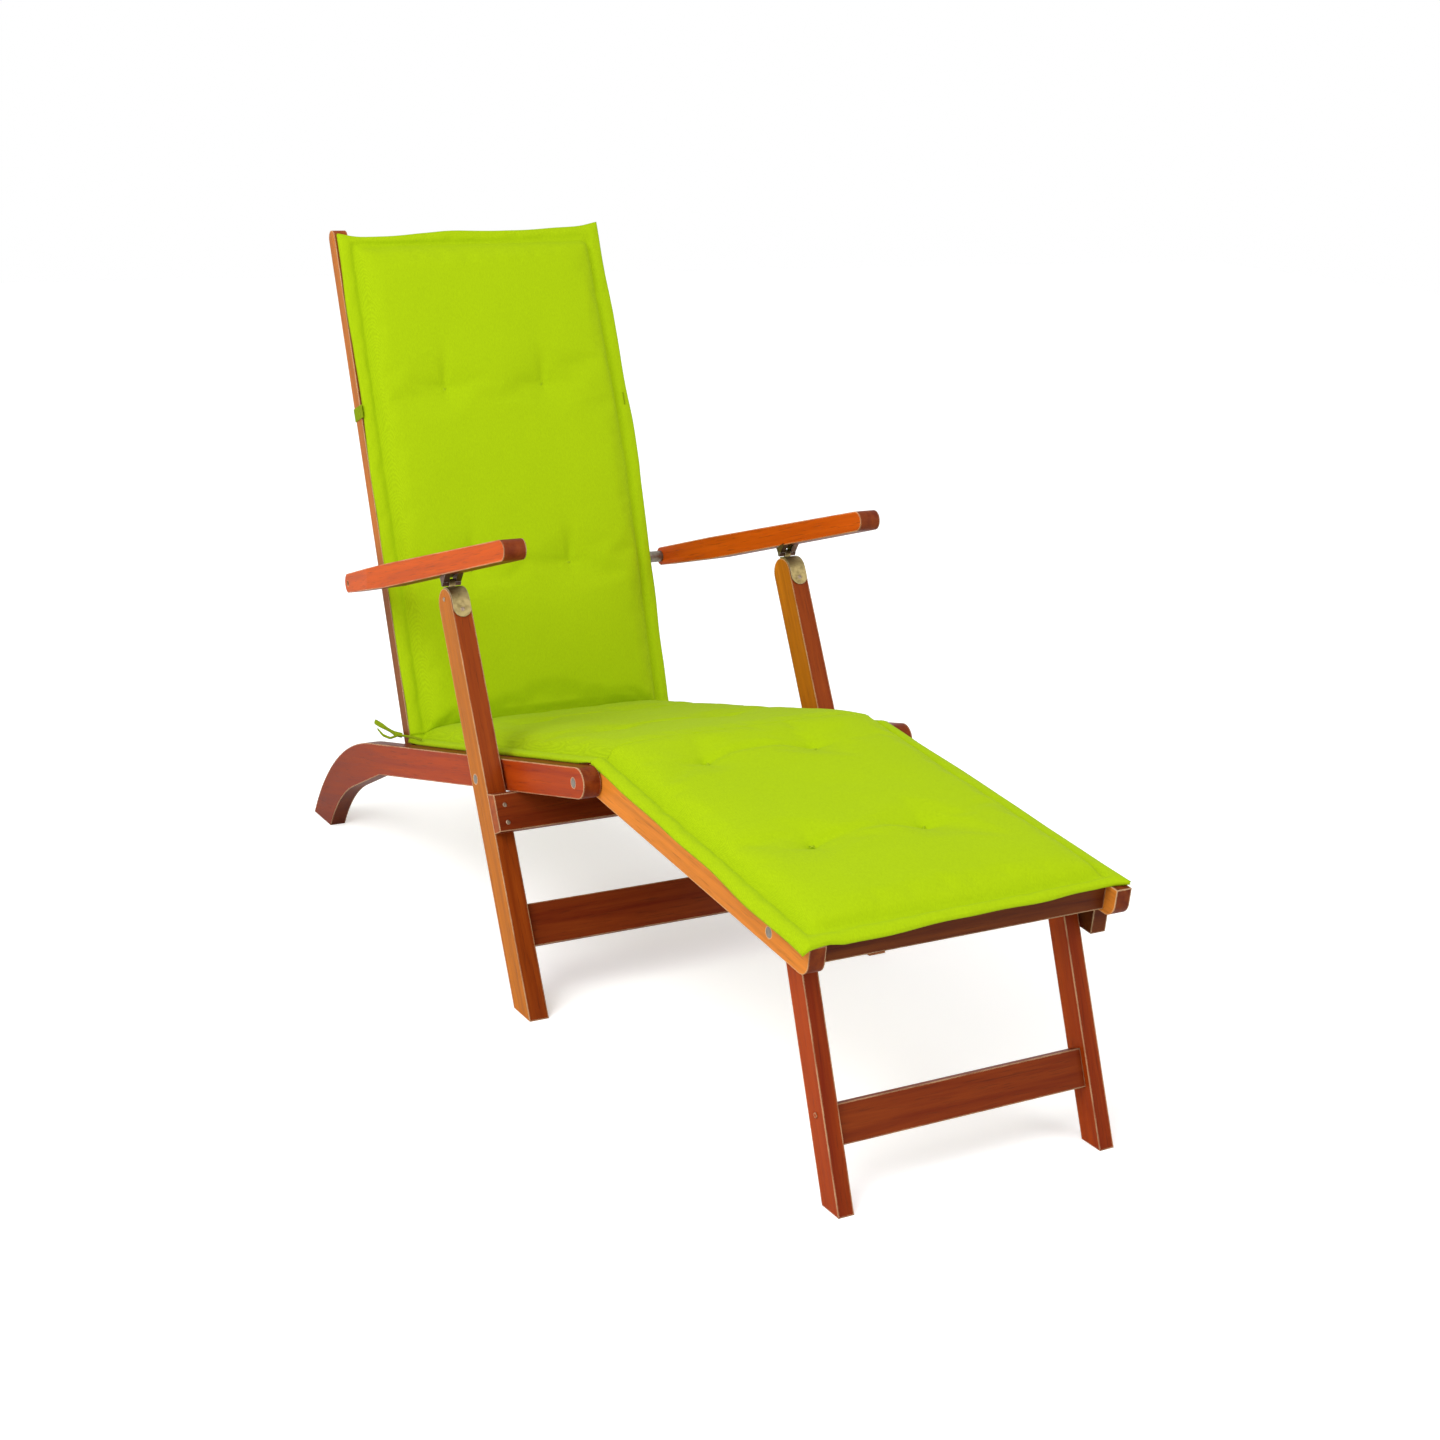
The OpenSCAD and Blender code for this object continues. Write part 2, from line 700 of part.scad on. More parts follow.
module footrest_leg_outline() {
    half = foot_leg_w / 2;
    polygon(concat(
        [foot_leg_at(foot_leg_end + level_cut(-half, foot_leg_lean), -half)],
        arc(foot_leg_axis, half, foot_leg_angle + 90, foot_leg_angle - 90),
        [foot_leg_at(foot_leg_end + level_cut(half, foot_leg_lean), half)]
    ));
}

module footrest_leg(side) {
    difference() {
        board(side, foot_leg_in, foot_leg_t) footrest_leg_outline();
        rod(side, foot_leg_pivot, hole_r, foot_leg_in - 1, foot_leg_out + 1);
    }
}

module footrest_stretcher_outline() {
    half = foot_stretcher_t / 2;
    low = (foot_stretcher_z - foot_leg_at(0, half)[1]) / sin(foot_leg_angle);
    polygon([
        foot_leg_at(low, -half),
        foot_leg_at(low + foot_stretcher_w, -half),
        foot_leg_at(low + foot_stretcher_w, half),
        foot_leg_at(low, half)
    ]);
}

// Pads: a crowned form with a flat sewn border, drawn-in sides and sewn tufts.
// Each is a grid of points along and across the pad; ends marked as joined have a narrow border.

pad_w = seat_inner_w - 2 * pad_side_gap;
pad_joint_border = 5;
pad_bend_lift = pad_border_lift + foot_rail_rise;
pad_rows = 24;
pad_columns = 17;
pad_clear = 0.3;

function ease(t) = sin(90 * min(1, max(0, t)));
function near(p, spot) = exp(-(pow(p[0] - spot[0], 2) + pow(p[1] - spot[1], 2)) / pow(tuft_r / 1.6, 2));
function dimples(p, spots, i = 0) =
    i >= len(spots) ? 0 : max(near(p, spots[i]), dimples(p, spots, i + 1));
// Spaces the grid more closely near the edges
function spread(t) = t - 0.08 * sin(360 * t);

// ends holds the border width at the start and at the end, lifts the underside's height there
function pad_point(t, s, l, spots, ends, lifts, upper) = let (
    half_w = pad_w / 2,
    draw = pad_draw_in * 4 * t * (1 - t),
    x = t * l,
    y = (2 * s - 1) * (half_w - draw),
    from_start = x - ends[0],
    from_end = l - x - ends[1],
    from_side = (1 - abs(2 * s - 1)) * half_w - pad_border_w,
    rise = ease(from_start / pad_rise) * ease(from_end / pad_rise) * ease(from_side / pad_rise),
    start_lift = lifts[0] * (1 - ease(from_start / pad_rise)),
    end_lift = lifts[1] * (1 - ease(from_end / pad_rise)),
    side_lift = pad_border_lift * (1 - ease(from_side / (pad_rise / 2))),
    low = pad_clear + max(start_lift, end_lift, side_lift),
    crown = pad_t - pad_border_t - pad_border_lift,
    high = pad_clear + max(start_lift, end_lift, pad_border_lift) + pad_border_t + crown * rise
        - tuft_depth * rise * dimples([x, y], spots)
) [x, y, upper ? high : low];

function pad_grid(l, spots, ends, lifts, upper) = [
    for (i = [0:pad_rows]) for (j = [0:pad_columns])
        pad_point(spread(i / pad_rows), spread(j / pad_columns), l, spots, ends, lifts, upper)
];

module pad_form(l, spots, ends, lifts) {
    n = pad_columns + 1;
    total = (pad_rows + 1) * n;
    points = concat(
        pad_grid(l, spots, ends, lifts, true),
        pad_grid(l, spots, ends, lifts, false)
    );
    cells = [for (i = [0:pad_rows - 1]) for (j = [0:pad_columns - 1]) i * n + j];
    upper_faces = [for (k = cells) each [[k, k + 1, k + n], [k + 1, k + n + 1, k + n]]];
    lower_faces = [for (k = cells) each [
        [total + k, total + k + n, total + k + 1],
        [total + k + 1, total + k + n, total + k + n + 1]
    ]];
    row = [for (j = [0:pad_columns - 1]) j];
    column = [for (i = [0:pad_rows - 1]) i * n];
    last_row = pad_rows * n;
    sides = [
        for (k = row) each [[k, total + k, k + 1], [k + 1, total + k, total + k + 1]],
        for (k = row) each [
            [last_row + k, last_row + k + 1, total + last_row + k],
            [last_row + k + 1, total + last_row + k + 1, total + last_row + k]
        ],
        for (k = column) each [[k, k + n, total + k], [k + n, total + k + n, total + k]],
        for (k = column) each [
            [k + pad_columns, total + k + pad_columns, k + n + pad_columns],
            [k + n + pad_columns, total + k + pad_columns, total + k + n + pad_columns]
        ]
    ];
    polyhedron(points, concat(upper_faces, lower_faces, sides));
}

// Lays a pad, drawn along X with its underside at 0, on a line of the side view
module laid(p, angle) {
    placed() translate([p[0], 0, p[1]]) rotate([0, -angle, 0]) children();
}

// The pads' crease, its distance along the back, and where each pad starts on its own line
crease = seat_at(crease_u, crease_v);
crease_back = dot2(crease - back_pivot, [cos(back_angle), sin(back_angle)]);
back_pad_start = crease_back + pad_end_gap;
seat_pad_start = crease_u + pad_end_gap;
function tufts(rows, start) = [for (r = rows) each [[r - start, tuft_y], [r - start, -tuft_y]]];

// Elastic straps round the back rails

module elastic(side) {
    elastic_at = back_slat_start + back_slat_step * (elastic_slat - 1) + back_slat_w + elastic_gap;
    rear = -back_rail_set - back_rail_h;
    module span(low, high) {
        polygon([
            back_at(elastic_at, high),
            back_at(elastic_at + elastic_w, high),
            back_at(elastic_at + elastic_w, low),
            back_at(elastic_at, low)
        ]);
    }
    difference() {
        board(side, back_in - elastic_t, back_rail_t + 2 * elastic_t)
            span(rear - elastic_t, -back_rail_set);
        board(side, back_in, back_rail_t) span(rear, 0);
    }
    board(side, inner_out, elastic_t) span(-back_rail_set, pad_border_lift);
}

module seat_rail_left() { color(wood) seat_rail(LEFT); }
module seat_rail_right() { color(wood) seat_rail(RIGHT); }
module seat_slats() { color(wood) seat_slat_set(); }
module seat_pad() {
    color(lime) laid(seat_at(seat_pad_start, -seat_slat_drop), seat_pitch)
        pad_form(foot_pivot_u + seat_pad_end - seat_pad_start, tufts(seat_tufts, seat_pad_start - crease_u),
            [pad_joint_border, pad_joint_border], [pad_border_lift, pad_bend_lift]);
}
module back_bolts() {
    color(steel) for (side = [LEFT, RIGHT])
        rod(side, back_pivot, bolt_r, back_in, seat_in + blind_hole);
}
module leg_bolts() {
    color(steel) for (side = [LEFT, RIGHT]) bolt(side, leg_pivot, seat_in, leg_out);
}
module leg_spacers() {
    color(steel) for (side = [LEFT, RIGHT])
        ring(side, leg_pivot, washer_r, hole_r, seat_out, leg_in - face_gap);
}
module footrest_bolts() {
    color(steel) for (side = [LEFT, RIGHT]) bolt(side, foot_pivot, foot_in, seat_out);
}
module back_rail_left() { color(wood_dark) back_rail(LEFT); }
module back_rail_right() { color(wood_dark) back_rail(RIGHT); }
module back_slats() { color(wood) back_slat_set(); }
module back_pad() {
    color(lime) laid(back_at(back_pad_start, -back_rail_set), back_angle) mirror([0, 0, 1])
        pad_form(back_rail_l - back_pad_end - back_pad_start, tufts(back_tufts, pad_end_gap),
            [pad_joint_border, pad_border_w], [pad_border_lift, pad_border_lift]);
}
module elastic_straps() {
    color(olive) for (side = [LEFT, RIGHT]) elastic(side);
}
module arm_pins() {
    color(steel) for (side = [LEFT, RIGHT])
        rod(side, arm_pivot, bolt_r, back_in, arm_out - arm_taper - bolt_head_t);
}
module arm_spacers() {
    color(steel) for (side = [LEFT, RIGHT])
        ring(side, arm_pivot, spacer_r, hole_r, inner_out, arm_in - face_gap);
}
module arm_left() { color(wood) arm(LEFT); }
module arm_right() { color(wood) arm(RIGHT); }
module bracket_left() { color(dark_steel) bracket(LEFT); }
module bracket_right() { color(dark_steel) bracket(RIGHT); }
module hinge_pins() {
    color(steel) for (side = [LEFT, RIGHT])
        rod(side, hinge_pivot, pin_r, leg_in + arm_overhang, leg_out);
}
module leg_left() { color(wood) leg(LEFT); }
module leg_right() { color(wood) leg(RIGHT); }
module upper_stretcher() { color(wood_dark) across(leg_out) upper_stretcher_outline(); }
module lower_stretcher() { color(wood_dark) across(leg_in) lower_stretcher_outline(); }
module strap_left() { color(brass) strap(LEFT); }
module strap_right() { color(brass) strap(RIGHT); }
module strap_screws() {
    p = leg_at(leg_top_along - strap_l * 0.55, leg_w / 2 + plate_t);
    color(steel) for (side = [LEFT, RIGHT])
        screw_head(p, side * (leg_in + leg_t / 2), leg_angle - 90);
}
module leg_screws() {
    color(steel) for (side = [LEFT, RIGHT])
        rod(side, leg_at(leg_top_along + leg_screw_up, 0), screw_head_r, leg_out, leg_out + screw_head_t);
}
module stretcher_screws() {
    face = leg_w / 2 + stretcher_t;
    low = (top_stretcher_z - leg_at(0, face)[1]) / leg_up[1];
    color(steel) for (side = [LEFT, RIGHT]) for (up = stretcher_screw_up)
        screw_head(leg_at(low + up, face), side * (leg_in + leg_t / 2), leg_angle - 90);
}
module footrest_rail_left() { color(wood) footrest_rail(LEFT); }
module footrest_rail_right() { color(wood) footrest_rail(RIGHT); }
module footrest_slats() { color(wood) footrest_slat_set(); }
module footrest_apron() { color(wood_dark) across(foot_in) apron_outline(); }
module footrest_pad() {
    color(lime) laid(foot_at(foot_pad_start, foot_top), foot_angle)
        pad_form(foot_rail_l - foot_pad_end - foot_pad_start, tufts(foot_tufts, foot_pad_start), [pad_joint_border, pad_border_w],
            [pad_border_lift / 2, pad_border_lift]);
}
module stop_block() {
    front = foot_rail_l - apron_set - apron_t;
    color(wood_dark) board(LEFT, foot_in, foot_rail_t) polygon([
        foot_at(front - block_l, foot_under),
        foot_at(front, foot_under),
        foot_at(front, foot_under - block_h),
        foot_at(front - block_l, foot_under - block_h)
    ]);
}
module footrest_leg_bolts() {
    color(steel) for (side = [LEFT, RIGHT]) bolt(side, foot_leg_pivot, foot_leg_in, inner_out);
}
module footrest_leg_left() { color(wood) footrest_leg(LEFT); }
module footrest_leg_right() { color(wood) footrest_leg(RIGHT); }
module footrest_stretcher() { color(wood_dark) across(foot_leg_in) footrest_stretcher_outline(); }
module footrest_spacers() {
    color(steel) for (side = [LEFT, RIGHT])
        ring(side, foot_leg_pivot, washer_r, hole_r, foot_leg_out + face_gap, foot_in);
}
module footrest_screws() {
    p = foot_leg_at(foot_leg_end + foot_screw_up, 0);
    color(steel) for (side = [LEFT, RIGHT])
        rod(side, p, screw_head_r, foot_leg_out, foot_leg_out + screw_head_t);
}

seat_rail_left();
seat_rail_right();
seat_slats();
seat_pad();
back_bolts();
leg_bolts();
leg_spacers();
footrest_bolts();
back_rail_left();
back_rail_right();
back_slats();
back_pad();
elastic_straps();
arm_pins();
arm_spacers();
arm_left();
arm_right();
bracket_left();
bracket_right();
hinge_pins();
leg_left();
leg_right();
upper_stretcher();
lower_stretcher();
strap_left();
strap_right();
strap_screws();
leg_screws();
stretcher_screws();
footrest_rail_left();
footrest_rail_right();
footrest_slats();
footrest_apron();
footrest_pad();
stop_block();
footrest_leg_bolts();
footrest_leg_left();
footrest_leg_right();
footrest_stretcher();
footrest_spacers();
footrest_screws();
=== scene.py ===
"""Looks of a folding chaise longue on its CAD frame: sewn pads, stained wood, metal fittings, stage."""
import json
import math
from collections import namedtuple

import bmesh
import bpy
import numpy as np
from bpy.props import FloatProperty, IntProperty, PointerProperty
from mathutils import Matrix, Vector, noise


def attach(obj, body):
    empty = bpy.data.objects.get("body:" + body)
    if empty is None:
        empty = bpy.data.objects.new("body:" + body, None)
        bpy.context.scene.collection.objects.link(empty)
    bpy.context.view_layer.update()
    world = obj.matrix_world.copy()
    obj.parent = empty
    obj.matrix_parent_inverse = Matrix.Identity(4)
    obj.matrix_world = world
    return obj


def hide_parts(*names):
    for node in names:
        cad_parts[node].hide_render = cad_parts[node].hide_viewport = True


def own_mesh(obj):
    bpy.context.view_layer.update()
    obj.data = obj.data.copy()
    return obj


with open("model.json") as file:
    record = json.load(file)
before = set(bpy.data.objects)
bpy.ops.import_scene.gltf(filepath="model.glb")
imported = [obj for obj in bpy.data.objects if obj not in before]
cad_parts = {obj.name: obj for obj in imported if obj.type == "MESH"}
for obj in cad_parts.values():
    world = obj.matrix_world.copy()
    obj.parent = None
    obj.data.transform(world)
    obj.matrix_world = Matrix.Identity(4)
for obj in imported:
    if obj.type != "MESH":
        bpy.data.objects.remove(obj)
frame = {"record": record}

bl_info = {
    "name": "Folding chaise longue looks",
    "version": (1, 0, 0),
    "blender": (4, 5, 0),
    "location": "3D View > Sidebar > Chaise",
    "description": "Sewn pads, wood, metal and stage around the packed frame",
    "category": "Object",
}

# Lines of the side view, as in the part's source
SEAT_PITCH = math.radians(13.65)
BACK_ANGLE = math.radians(112.5)
FOOT_ANGLE = math.radians(-5.7)
LEG_ANGLE = math.radians(117.5)
FOOT_LEG_ANGLE = math.radians(111.3)
ARM_ANGLE = math.radians(16.7)
# Places of the back's pivot on the seat's line, and of the crease, in metres
BACK_PIVOT_ALONG = 0.009
BACK_PIVOT_UP = -0.0175
CREASE_ALONG = 0.0025
CREASE_UP = 0.010
# Tops of the slats: under the seat's and the back's lines, and over the footrest's pivot
SLATS_UNDER = 0.004
FOOT_SLATS_OVER = 0.0213
# Corners of a CAD mesh that lie closer than this are one
SAME_PLACE = 1e-6


class Line:
    """A direction in the side view with its own origin: along it, across to the left, up from it."""

    def __init__(self, origin, angle, flip=False):
        self.origin = Vector(origin)
        self.d = Vector((math.cos(angle), 0, math.sin(angle)))
        up = Vector((-math.sin(angle), 0, math.cos(angle)))
        self.n = -up if flip else up

    def at(self, along, y=0.0, up=0.0):
        p = self.origin + self.d * along + self.n * up
        p.y += y
        return p

    def map(self, co):
        """Local (along, y, up) rows to the frame."""
        out = np.array(self.origin) + np.outer(co[:, 0], self.d) + np.outer(co[:, 2], self.n)
        out[:, 1] += co[:, 1]
        return out

    def along_of(self, p):
        return (Vector(p) - self.origin).dot(self.d)


def joint(name):
    return next(j for j in frame["record"]["behaviour"]["joints"] if j["name"] == name)


def lines():
    """The slat planes of the seat, the back and the footrest, with along counted from their pivots."""
    pivot = Vector(joint("back_fold")["pos_m"])
    foot = Vector(joint("footrest_fold")["pos_m"])
    seat = Line(pivot, SEAT_PITCH)
    seat.origin = seat.at(-BACK_PIVOT_ALONG, 0, -BACK_PIVOT_UP)
    crease = seat.at(CREASE_ALONG, 0, CREASE_UP)
    seat.origin = seat.at(0, 0, -SLATS_UNDER)
    back = Line(pivot, BACK_ANGLE, flip=True)
    back.origin = back.at(0, 0, -SLATS_UNDER)
    rest = Line(foot, FOOT_ANGLE)
    rest.origin = rest.at(0, 0, FOOT_SLATS_OVER)
    return {"seat": seat, "back": back, "footrest": rest, "crease": crease}


# Small helpers


def srgb(r, g, b):
    """8-bit display values to a linear colour."""
    def one(v):
        v /= 255
        return v / 12.92 if v <= 0.04045 else ((v + 0.055) / 1.055) ** 2.4
    return (one(r), one(g), one(b), 1)


def share(x):
    """x held between 0 and 1."""
    return min(max(x, 0.0), 1.0)


def bell(x, width):
    """1 at 0, falling away on both sides over about the width."""
    return np.exp(-((x / width) ** 2))


def shade(mesh, smooth=True):
    mesh.polygons.foreach_set("use_smooth", [smooth] * len(mesh.polygons))


def corners_of(mesh, what="co"):
    """A value of each corner of a mesh, one row a corner."""
    out = np.zeros(len(mesh.vertices) * 3)
    mesh.vertices.foreach_get(what, out)
    return out.reshape(-1, 3)


def new_object(name, data, material=None):
    obj = bpy.data.objects.new(name, data)
    bpy.context.scene.collection.objects.link(obj)
    if material:
        data.materials.append(material)
    return obj


def mesh_from(name, co, faces, smooth=True):
    mesh = bpy.data.meshes.new(name)
    mesh.from_pydata([tuple(c) for c in co], [], faces)
    mesh.update()
    shade(mesh, smooth)
    return mesh


def baked(obj):
    """Makes an object's modifiers plain mesh and removes them."""
    graph = bpy.context.evaluated_depsgraph_get()
    mesh = bpy.data.meshes.new_from_object(obj.evaluated_get(graph), depsgraph=graph)
    obj.modifiers.clear()
    old = obj.data
    obj.data = mesh
    if old.users == 0 and isinstance(old, bpy.types.Mesh):
        bpy.data.meshes.remove(old)
    return obj


def edit(mesh, work):
    """Does some work on a mesh's editable form."""
    bm = bmesh.new()
    bm.from_mesh(mesh)
    work(bm)
    bm.to_mesh(mesh)
    bm.free()


def outward(mesh):
    edit(mesh, lambda bm: bmesh.ops.recalc_face_normals(bm, faces=bm.faces))


def join_corners(bm):
    bmesh.ops.remove_doubles(bm, verts=bm.verts, dist=SAME_PLACE)


class Nodes:
    """Short hand for building a shader or geometry tree."""

    def __init__(self, tree):
        self.tree = tree

    def add(self, kind, inputs=None, **settings):
        node = self.tree.nodes.new(kind)
        for key, value in settings.items():
            setattr(node, key, value)
        for key, value in (inputs or {}).items():
            socket = node.inputs[key]
            if isinstance(value, bpy.types.NodeSocket):
                self.tree.links.new(value, socket)
            else:
                socket.default_value = value
        return node

    def out(self, kind, inputs=None, **settings):
        return self.add(kind, inputs, **settings).outputs[0]

    def math(self, operation, a, b=0.0):
        return self.out("ShaderNodeMath", {0: a, 1: b}, operation=operation)

    def times(self, a, b):
        return self.math("MULTIPLY", a, b)

    def mix(self, amount, a, b):
        """The colour a, with an amount of b over it."""
        return self.add("ShaderNodeMix", {0: amount, 6: a, 7: b}, data_type="RGBA").outputs[2]

    def mapping(self, vector, **more):
        return self.out("ShaderNodeMapping", {"Vector": vector, **more})

    def bump(self, height, strength, distance, **more):
        inputs = {"Strength": strength, "Distance": distance, "Height": height, **more}
        return self.out("ShaderNodeBump", inputs)

    def ramp(self, value, low, high):
        """0 at low, 1 at high."""
        return self.out("ShaderNodeMapRange", {0: value, 1: low, 2: high}, clamp=True)

    def noise(self, vector, scale=1.0, detail=4.0, roughness=0.55, distortion=0.0):
        return self.add("ShaderNodeTexNoise", {
            "Vector": vector, "Scale": scale, "Detail": detail, "Roughness": roughness,
            "Distortion": distortion}).outputs["Fac"]


def material(name):
    mat = bpy.data.materials.new(name)
    mat.use_nodes = True
    mat.node_tree.nodes.clear()
    return mat, Nodes(mat.node_tree)


def finish_material(n, colour, roughness, bump, **more):
    inputs = {"Base Color": colour, "Roughness": roughness, "Normal": bump}
    inputs.update({key.replace("_", " "): value for key, value in more.items()})
    n.add("ShaderNodeOutputMaterial", {"Surface": n.out("ShaderNodeBsdfPrincipled", inputs)})


def worn_edges(n, radius, low, high):
    """The rounded normal, and how much of an edge a point lies on."""
    rounded = n.out("ShaderNodeBevel", {"Radius": radius}, samples=4)
    true = n.add("ShaderNodeNewGeometry").outputs["Normal"]
    dot = n.add("ShaderNodeVectorMath", {0: rounded, 1: true}, operation="DOT_PRODUCT").outputs["Value"]
    return rounded, n.ramp(n.math("SUBTRACT", 1.0, dot), low, high)


# Materials

DEEP_STAIN = (0.03, 0.006, 0.003, 1)
PORE_STAIN = (0.025, 0.008, 0.004, 1)
# A dark brown that paints shade, used by the wood's shade ramp.
PAINTED_SHADE = (0.05, 0.011, 0.005, 1)
HONEY = srgb(240, 150, 50)
BARE_WOOD = srgb(250, 214, 164)
# Noise scales along and across the grain
GRAIN_LINES, FIGURE, PORES = (3, 70), (1.6, 14), (28, 700)
TARNISH = (0.05, 0.035, 0.02, 1)
RUBBED_METAL = (0.8, 0.76, 0.68, 1)


def wood(name, turn, side, front, finish, seed, shade_ramp):
    """Stained, oiled hardwood with painted light and shade: side is the lit colour of the faces that look
    left and right, front the shaded colour of all others.

    The last argument paints shade that darkens the wood along an axis: its number, where it is darkest, where
    it ends, and the amount.
    """
    mat, n = material(name)
    coords = n.add("ShaderNodeTexCoord")
    grain_way = n.mapping(coords.outputs["Object"], Rotation=turn, Location=(seed, seed * 0.37, seed * 0.71))

    def grain(sizes, **more):
        along, across = (size * finish.grain_scale for size in sizes)
        return n.noise(n.mapping(grain_way, Scale=(along, across, across)), **more)

    lines_fac = grain(GRAIN_LINES, detail=6.0, roughness=0.6, distortion=0.4)
    figure_fac = grain(FIGURE, detail=3.0, roughness=0.5, distortion=1.2)
    pore_fac = n.ramp(grain(PORES, detail=2.0, roughness=0.5), 0.58, 0.72)
    # Painted light and shade: faces that look left and right take the lit side colour, the others the shaded
    # front colour.
    across = n.add("ShaderNodeSeparateXYZ", {0: coords.outputs["Normal"]}).outputs[1]
    lit_side = n.ramp(n.math("ABSOLUTE", across), 0.5, 0.9)
    base = n.mix(lit_side, front, side)
    dark = n.mix(0.40, base, DEEP_STAIN)
    light = n.mix(0.10, base, HONEY)
    body = n.mix(n.ramp(lines_fac, 0.3, 0.72), dark, light)
    body = n.mix(n.times(n.ramp(figure_fac, 0.35, 0.7), 0.38), body, dark)
    body = n.mix(n.times(pore_fac, 0.35), body, PORE_STAIN)
    # Painted shade: the wood darkens along one axis, towards where shade falls.
    if shade_ramp:
        axis, darkest, ends, amount = shade_ramp
        place = n.add("ShaderNodeSeparateXYZ", {0: coords.outputs["Object"]}).outputs[axis]
        body = n.mix(n.times(n.ramp(place, ends, darkest), amount), body, PAINTED_SHADE)
    rounded, edge = worn_edges(n, radius=0.003, low=0.01, high=0.10)
    patchy = n.ramp(n.noise(coords.outputs["Object"], scale=22.0), 0.22, 0.55)
    body = n.mix(n.times(n.times(edge, patchy), finish.wear), body, BARE_WOOD)
    height = n.math("SUBTRACT", n.times(lines_fac, 0.5), pore_fac)
    bump = n.bump(height, strength=0.22, distance=0.0006, Normal=rounded)
    rough = n.math("ADD", 0.34, n.times(lines_fac, 0.2))
    finish_material(n, body, rough, bump, Coat_Weight=0.04, Coat_Roughness=0.25, Specular_IOR_Level=0.04)
    return mat


def metal(name, colour, rough, finish):
    """Plated or cast metal with fine scratches, dulled patches and brighter edges."""
    mat, n = material(name)
    p = n.add("ShaderNodeTexCoord").outputs["Object"]
    scratches = n.noise(n.mapping(p, Rotation=(0.3, 0.5, 0.2), Scale=(1500, 120, 900)), detail=2.0)
    patches = n.ramp(n.noise(p, scale=160.0, detail=5.0), 0.42, 0.68)
    rounded, edge = worn_edges(n, radius=0.0008, low=0.03, high=0.2)
    body = n.mix(n.times(patches, 0.35 * finish.wear), colour, TARNISH)
    body = n.mix(n.times(edge, 0.5 * finish.wear), body, RUBBED_METAL)
    bump = n.bump(scratches, strength=0.15, distance=0.0002, Normal=rounded)
    finish_material(n, body, n.math("ADD", rough, n.times(patches, 0.2)), bump, Metallic=1.0)
    return mat


def cloth(name, colour, finish, deep, pitch=0.0011):
    """Plain-woven polyester: two crossing sets of threads on the object's own coordinates."""
    mat, n = material(name)
    p = n.add("ShaderNodeTexCoord").outputs["Object"]
    turned = n.mapping(p, Rotation=(0.0, SEAT_PITCH, 0.0))
    turns = 2 * math.pi / (pitch * finish.weave_scale)
    xyz = n.add("ShaderNodeSeparateXYZ", {0: turned})
    wave = [n.math("SINE", n.times(xyz.outputs[k], turns)) for k in range(3)]
    warp = n.times(wave[1], n.math("ADD", wave[0], wave[2]))
    slub = n.noise(n.mapping(turned, Scale=(220, 1500, 220)), detail=3.0)
    thread = n.math("ADD", n.times(warp, 0.18), n.times(slub, 0.8))
    body = n.mix(n.ramp(thread, 0.15, 0.75), deep, colour)
    body = n.mix(n.times(n.ramp(n.noise(p, scale=5.0), 0.4, 0.7), 0.12), body, deep)
    bump = n.bump(thread, strength=0.25, distance=0.0003)
    finish_material(n, body, 0.9, bump, Sheen_Weight=0.02, Sheen_Roughness=0.4, Specular_IOR_Level=0.04)
    return mat


def plain_stage(name, colour, lift):
    """A matt floor that the camera, mirrors and glass see as white where no shadow falls."""
    mat, n = material(name)
    matt = n.out("ShaderNodeBsdfDiffuse", {"Color": colour, "Roughness": 0.6})
    strength = n.times(camera_sees(n), lift)
    glow = n.out("ShaderNodeEmission", {"Color": (1, 1, 1, 1), "Strength": strength})
    n.add("ShaderNodeOutputMaterial", {"Surface": n.out("ShaderNodeAddShader", {0: matt, 1: glow})})
    return mat


def camera_sees(n):
    """1 on a ray from the camera, in a mirror or through glass."""
    rays = n.add("ShaderNodeLightPath").outputs
    mirrored = n.math("MAXIMUM", rays["Is Glossy Ray"], rays["Is Transmission Ray"])
    return n.math("MAXIMUM", rays["Is Camera Ray"], mirrored)


# Pads

# Lengths that stay the same whatever the settings are
CELL = 0.0074
JOINED_STEP = 0.0007
BORDER_CELLS = 4
CALM_OVER = 0.06
MITRE_OVER = 0.03
# Height and scale of the waves in the sides, the free ends, the border and the panel
SIDE_WAVE, END_WAVE, BORDER_WAVE = (0.0026, 11.0), (0.004, 13.0), (0.0012, 26)
PANEL_WAVES = ((0.0014, 9), (0.0007, 24))
CORNER_TIP, CORNER_REACH = 0.004, 0.022
# Shares of the border's height: at its edges, and added in its middle
BORDER_EDGE, BORDER_SWELL = 0.45, 0.38
# The panel rolls down into the crease over this length, to between these heights over its neighbour
CREASE_ROLL, CREASE_LOW, CREASE_HIGH = 0.016, 0.006, 0.0125
# The underside: air over the slats, and the length over which it comes down to them
UNDER_AIR, UNDER_OVER, FULL_LIFT = 0.0006, 0.03, 0.004
CREASE_LIFT, CREASE_LIFT_OVER = 0.0018, 0.04
# Room over the footrest's rails at the seat's front: height, length, hold, and where the rails begin
RAIL_ROOM, RAIL_ROOM_OVER, RAIL_ROOM_HOLD, RAIL_INSIDE, RAIL_RAMP = 0.0025, 0.036, 1.4, 0.185, 0.01
LEAST_UP = 0.0005
# What hangs over: lengths from the front end and from the middle, and the lengths of their ramps
FRONT_HANG, FRONT_HANG_OVER, MIDDLE_HANG, MIDDLE_HANG_OVER = 0.016, 0.02, 0.18, 0.02
SIDE_HANG, SIDE_HANG_OVER = 0.2275, 0.012
GROOVE_WIDTH = 0.0032
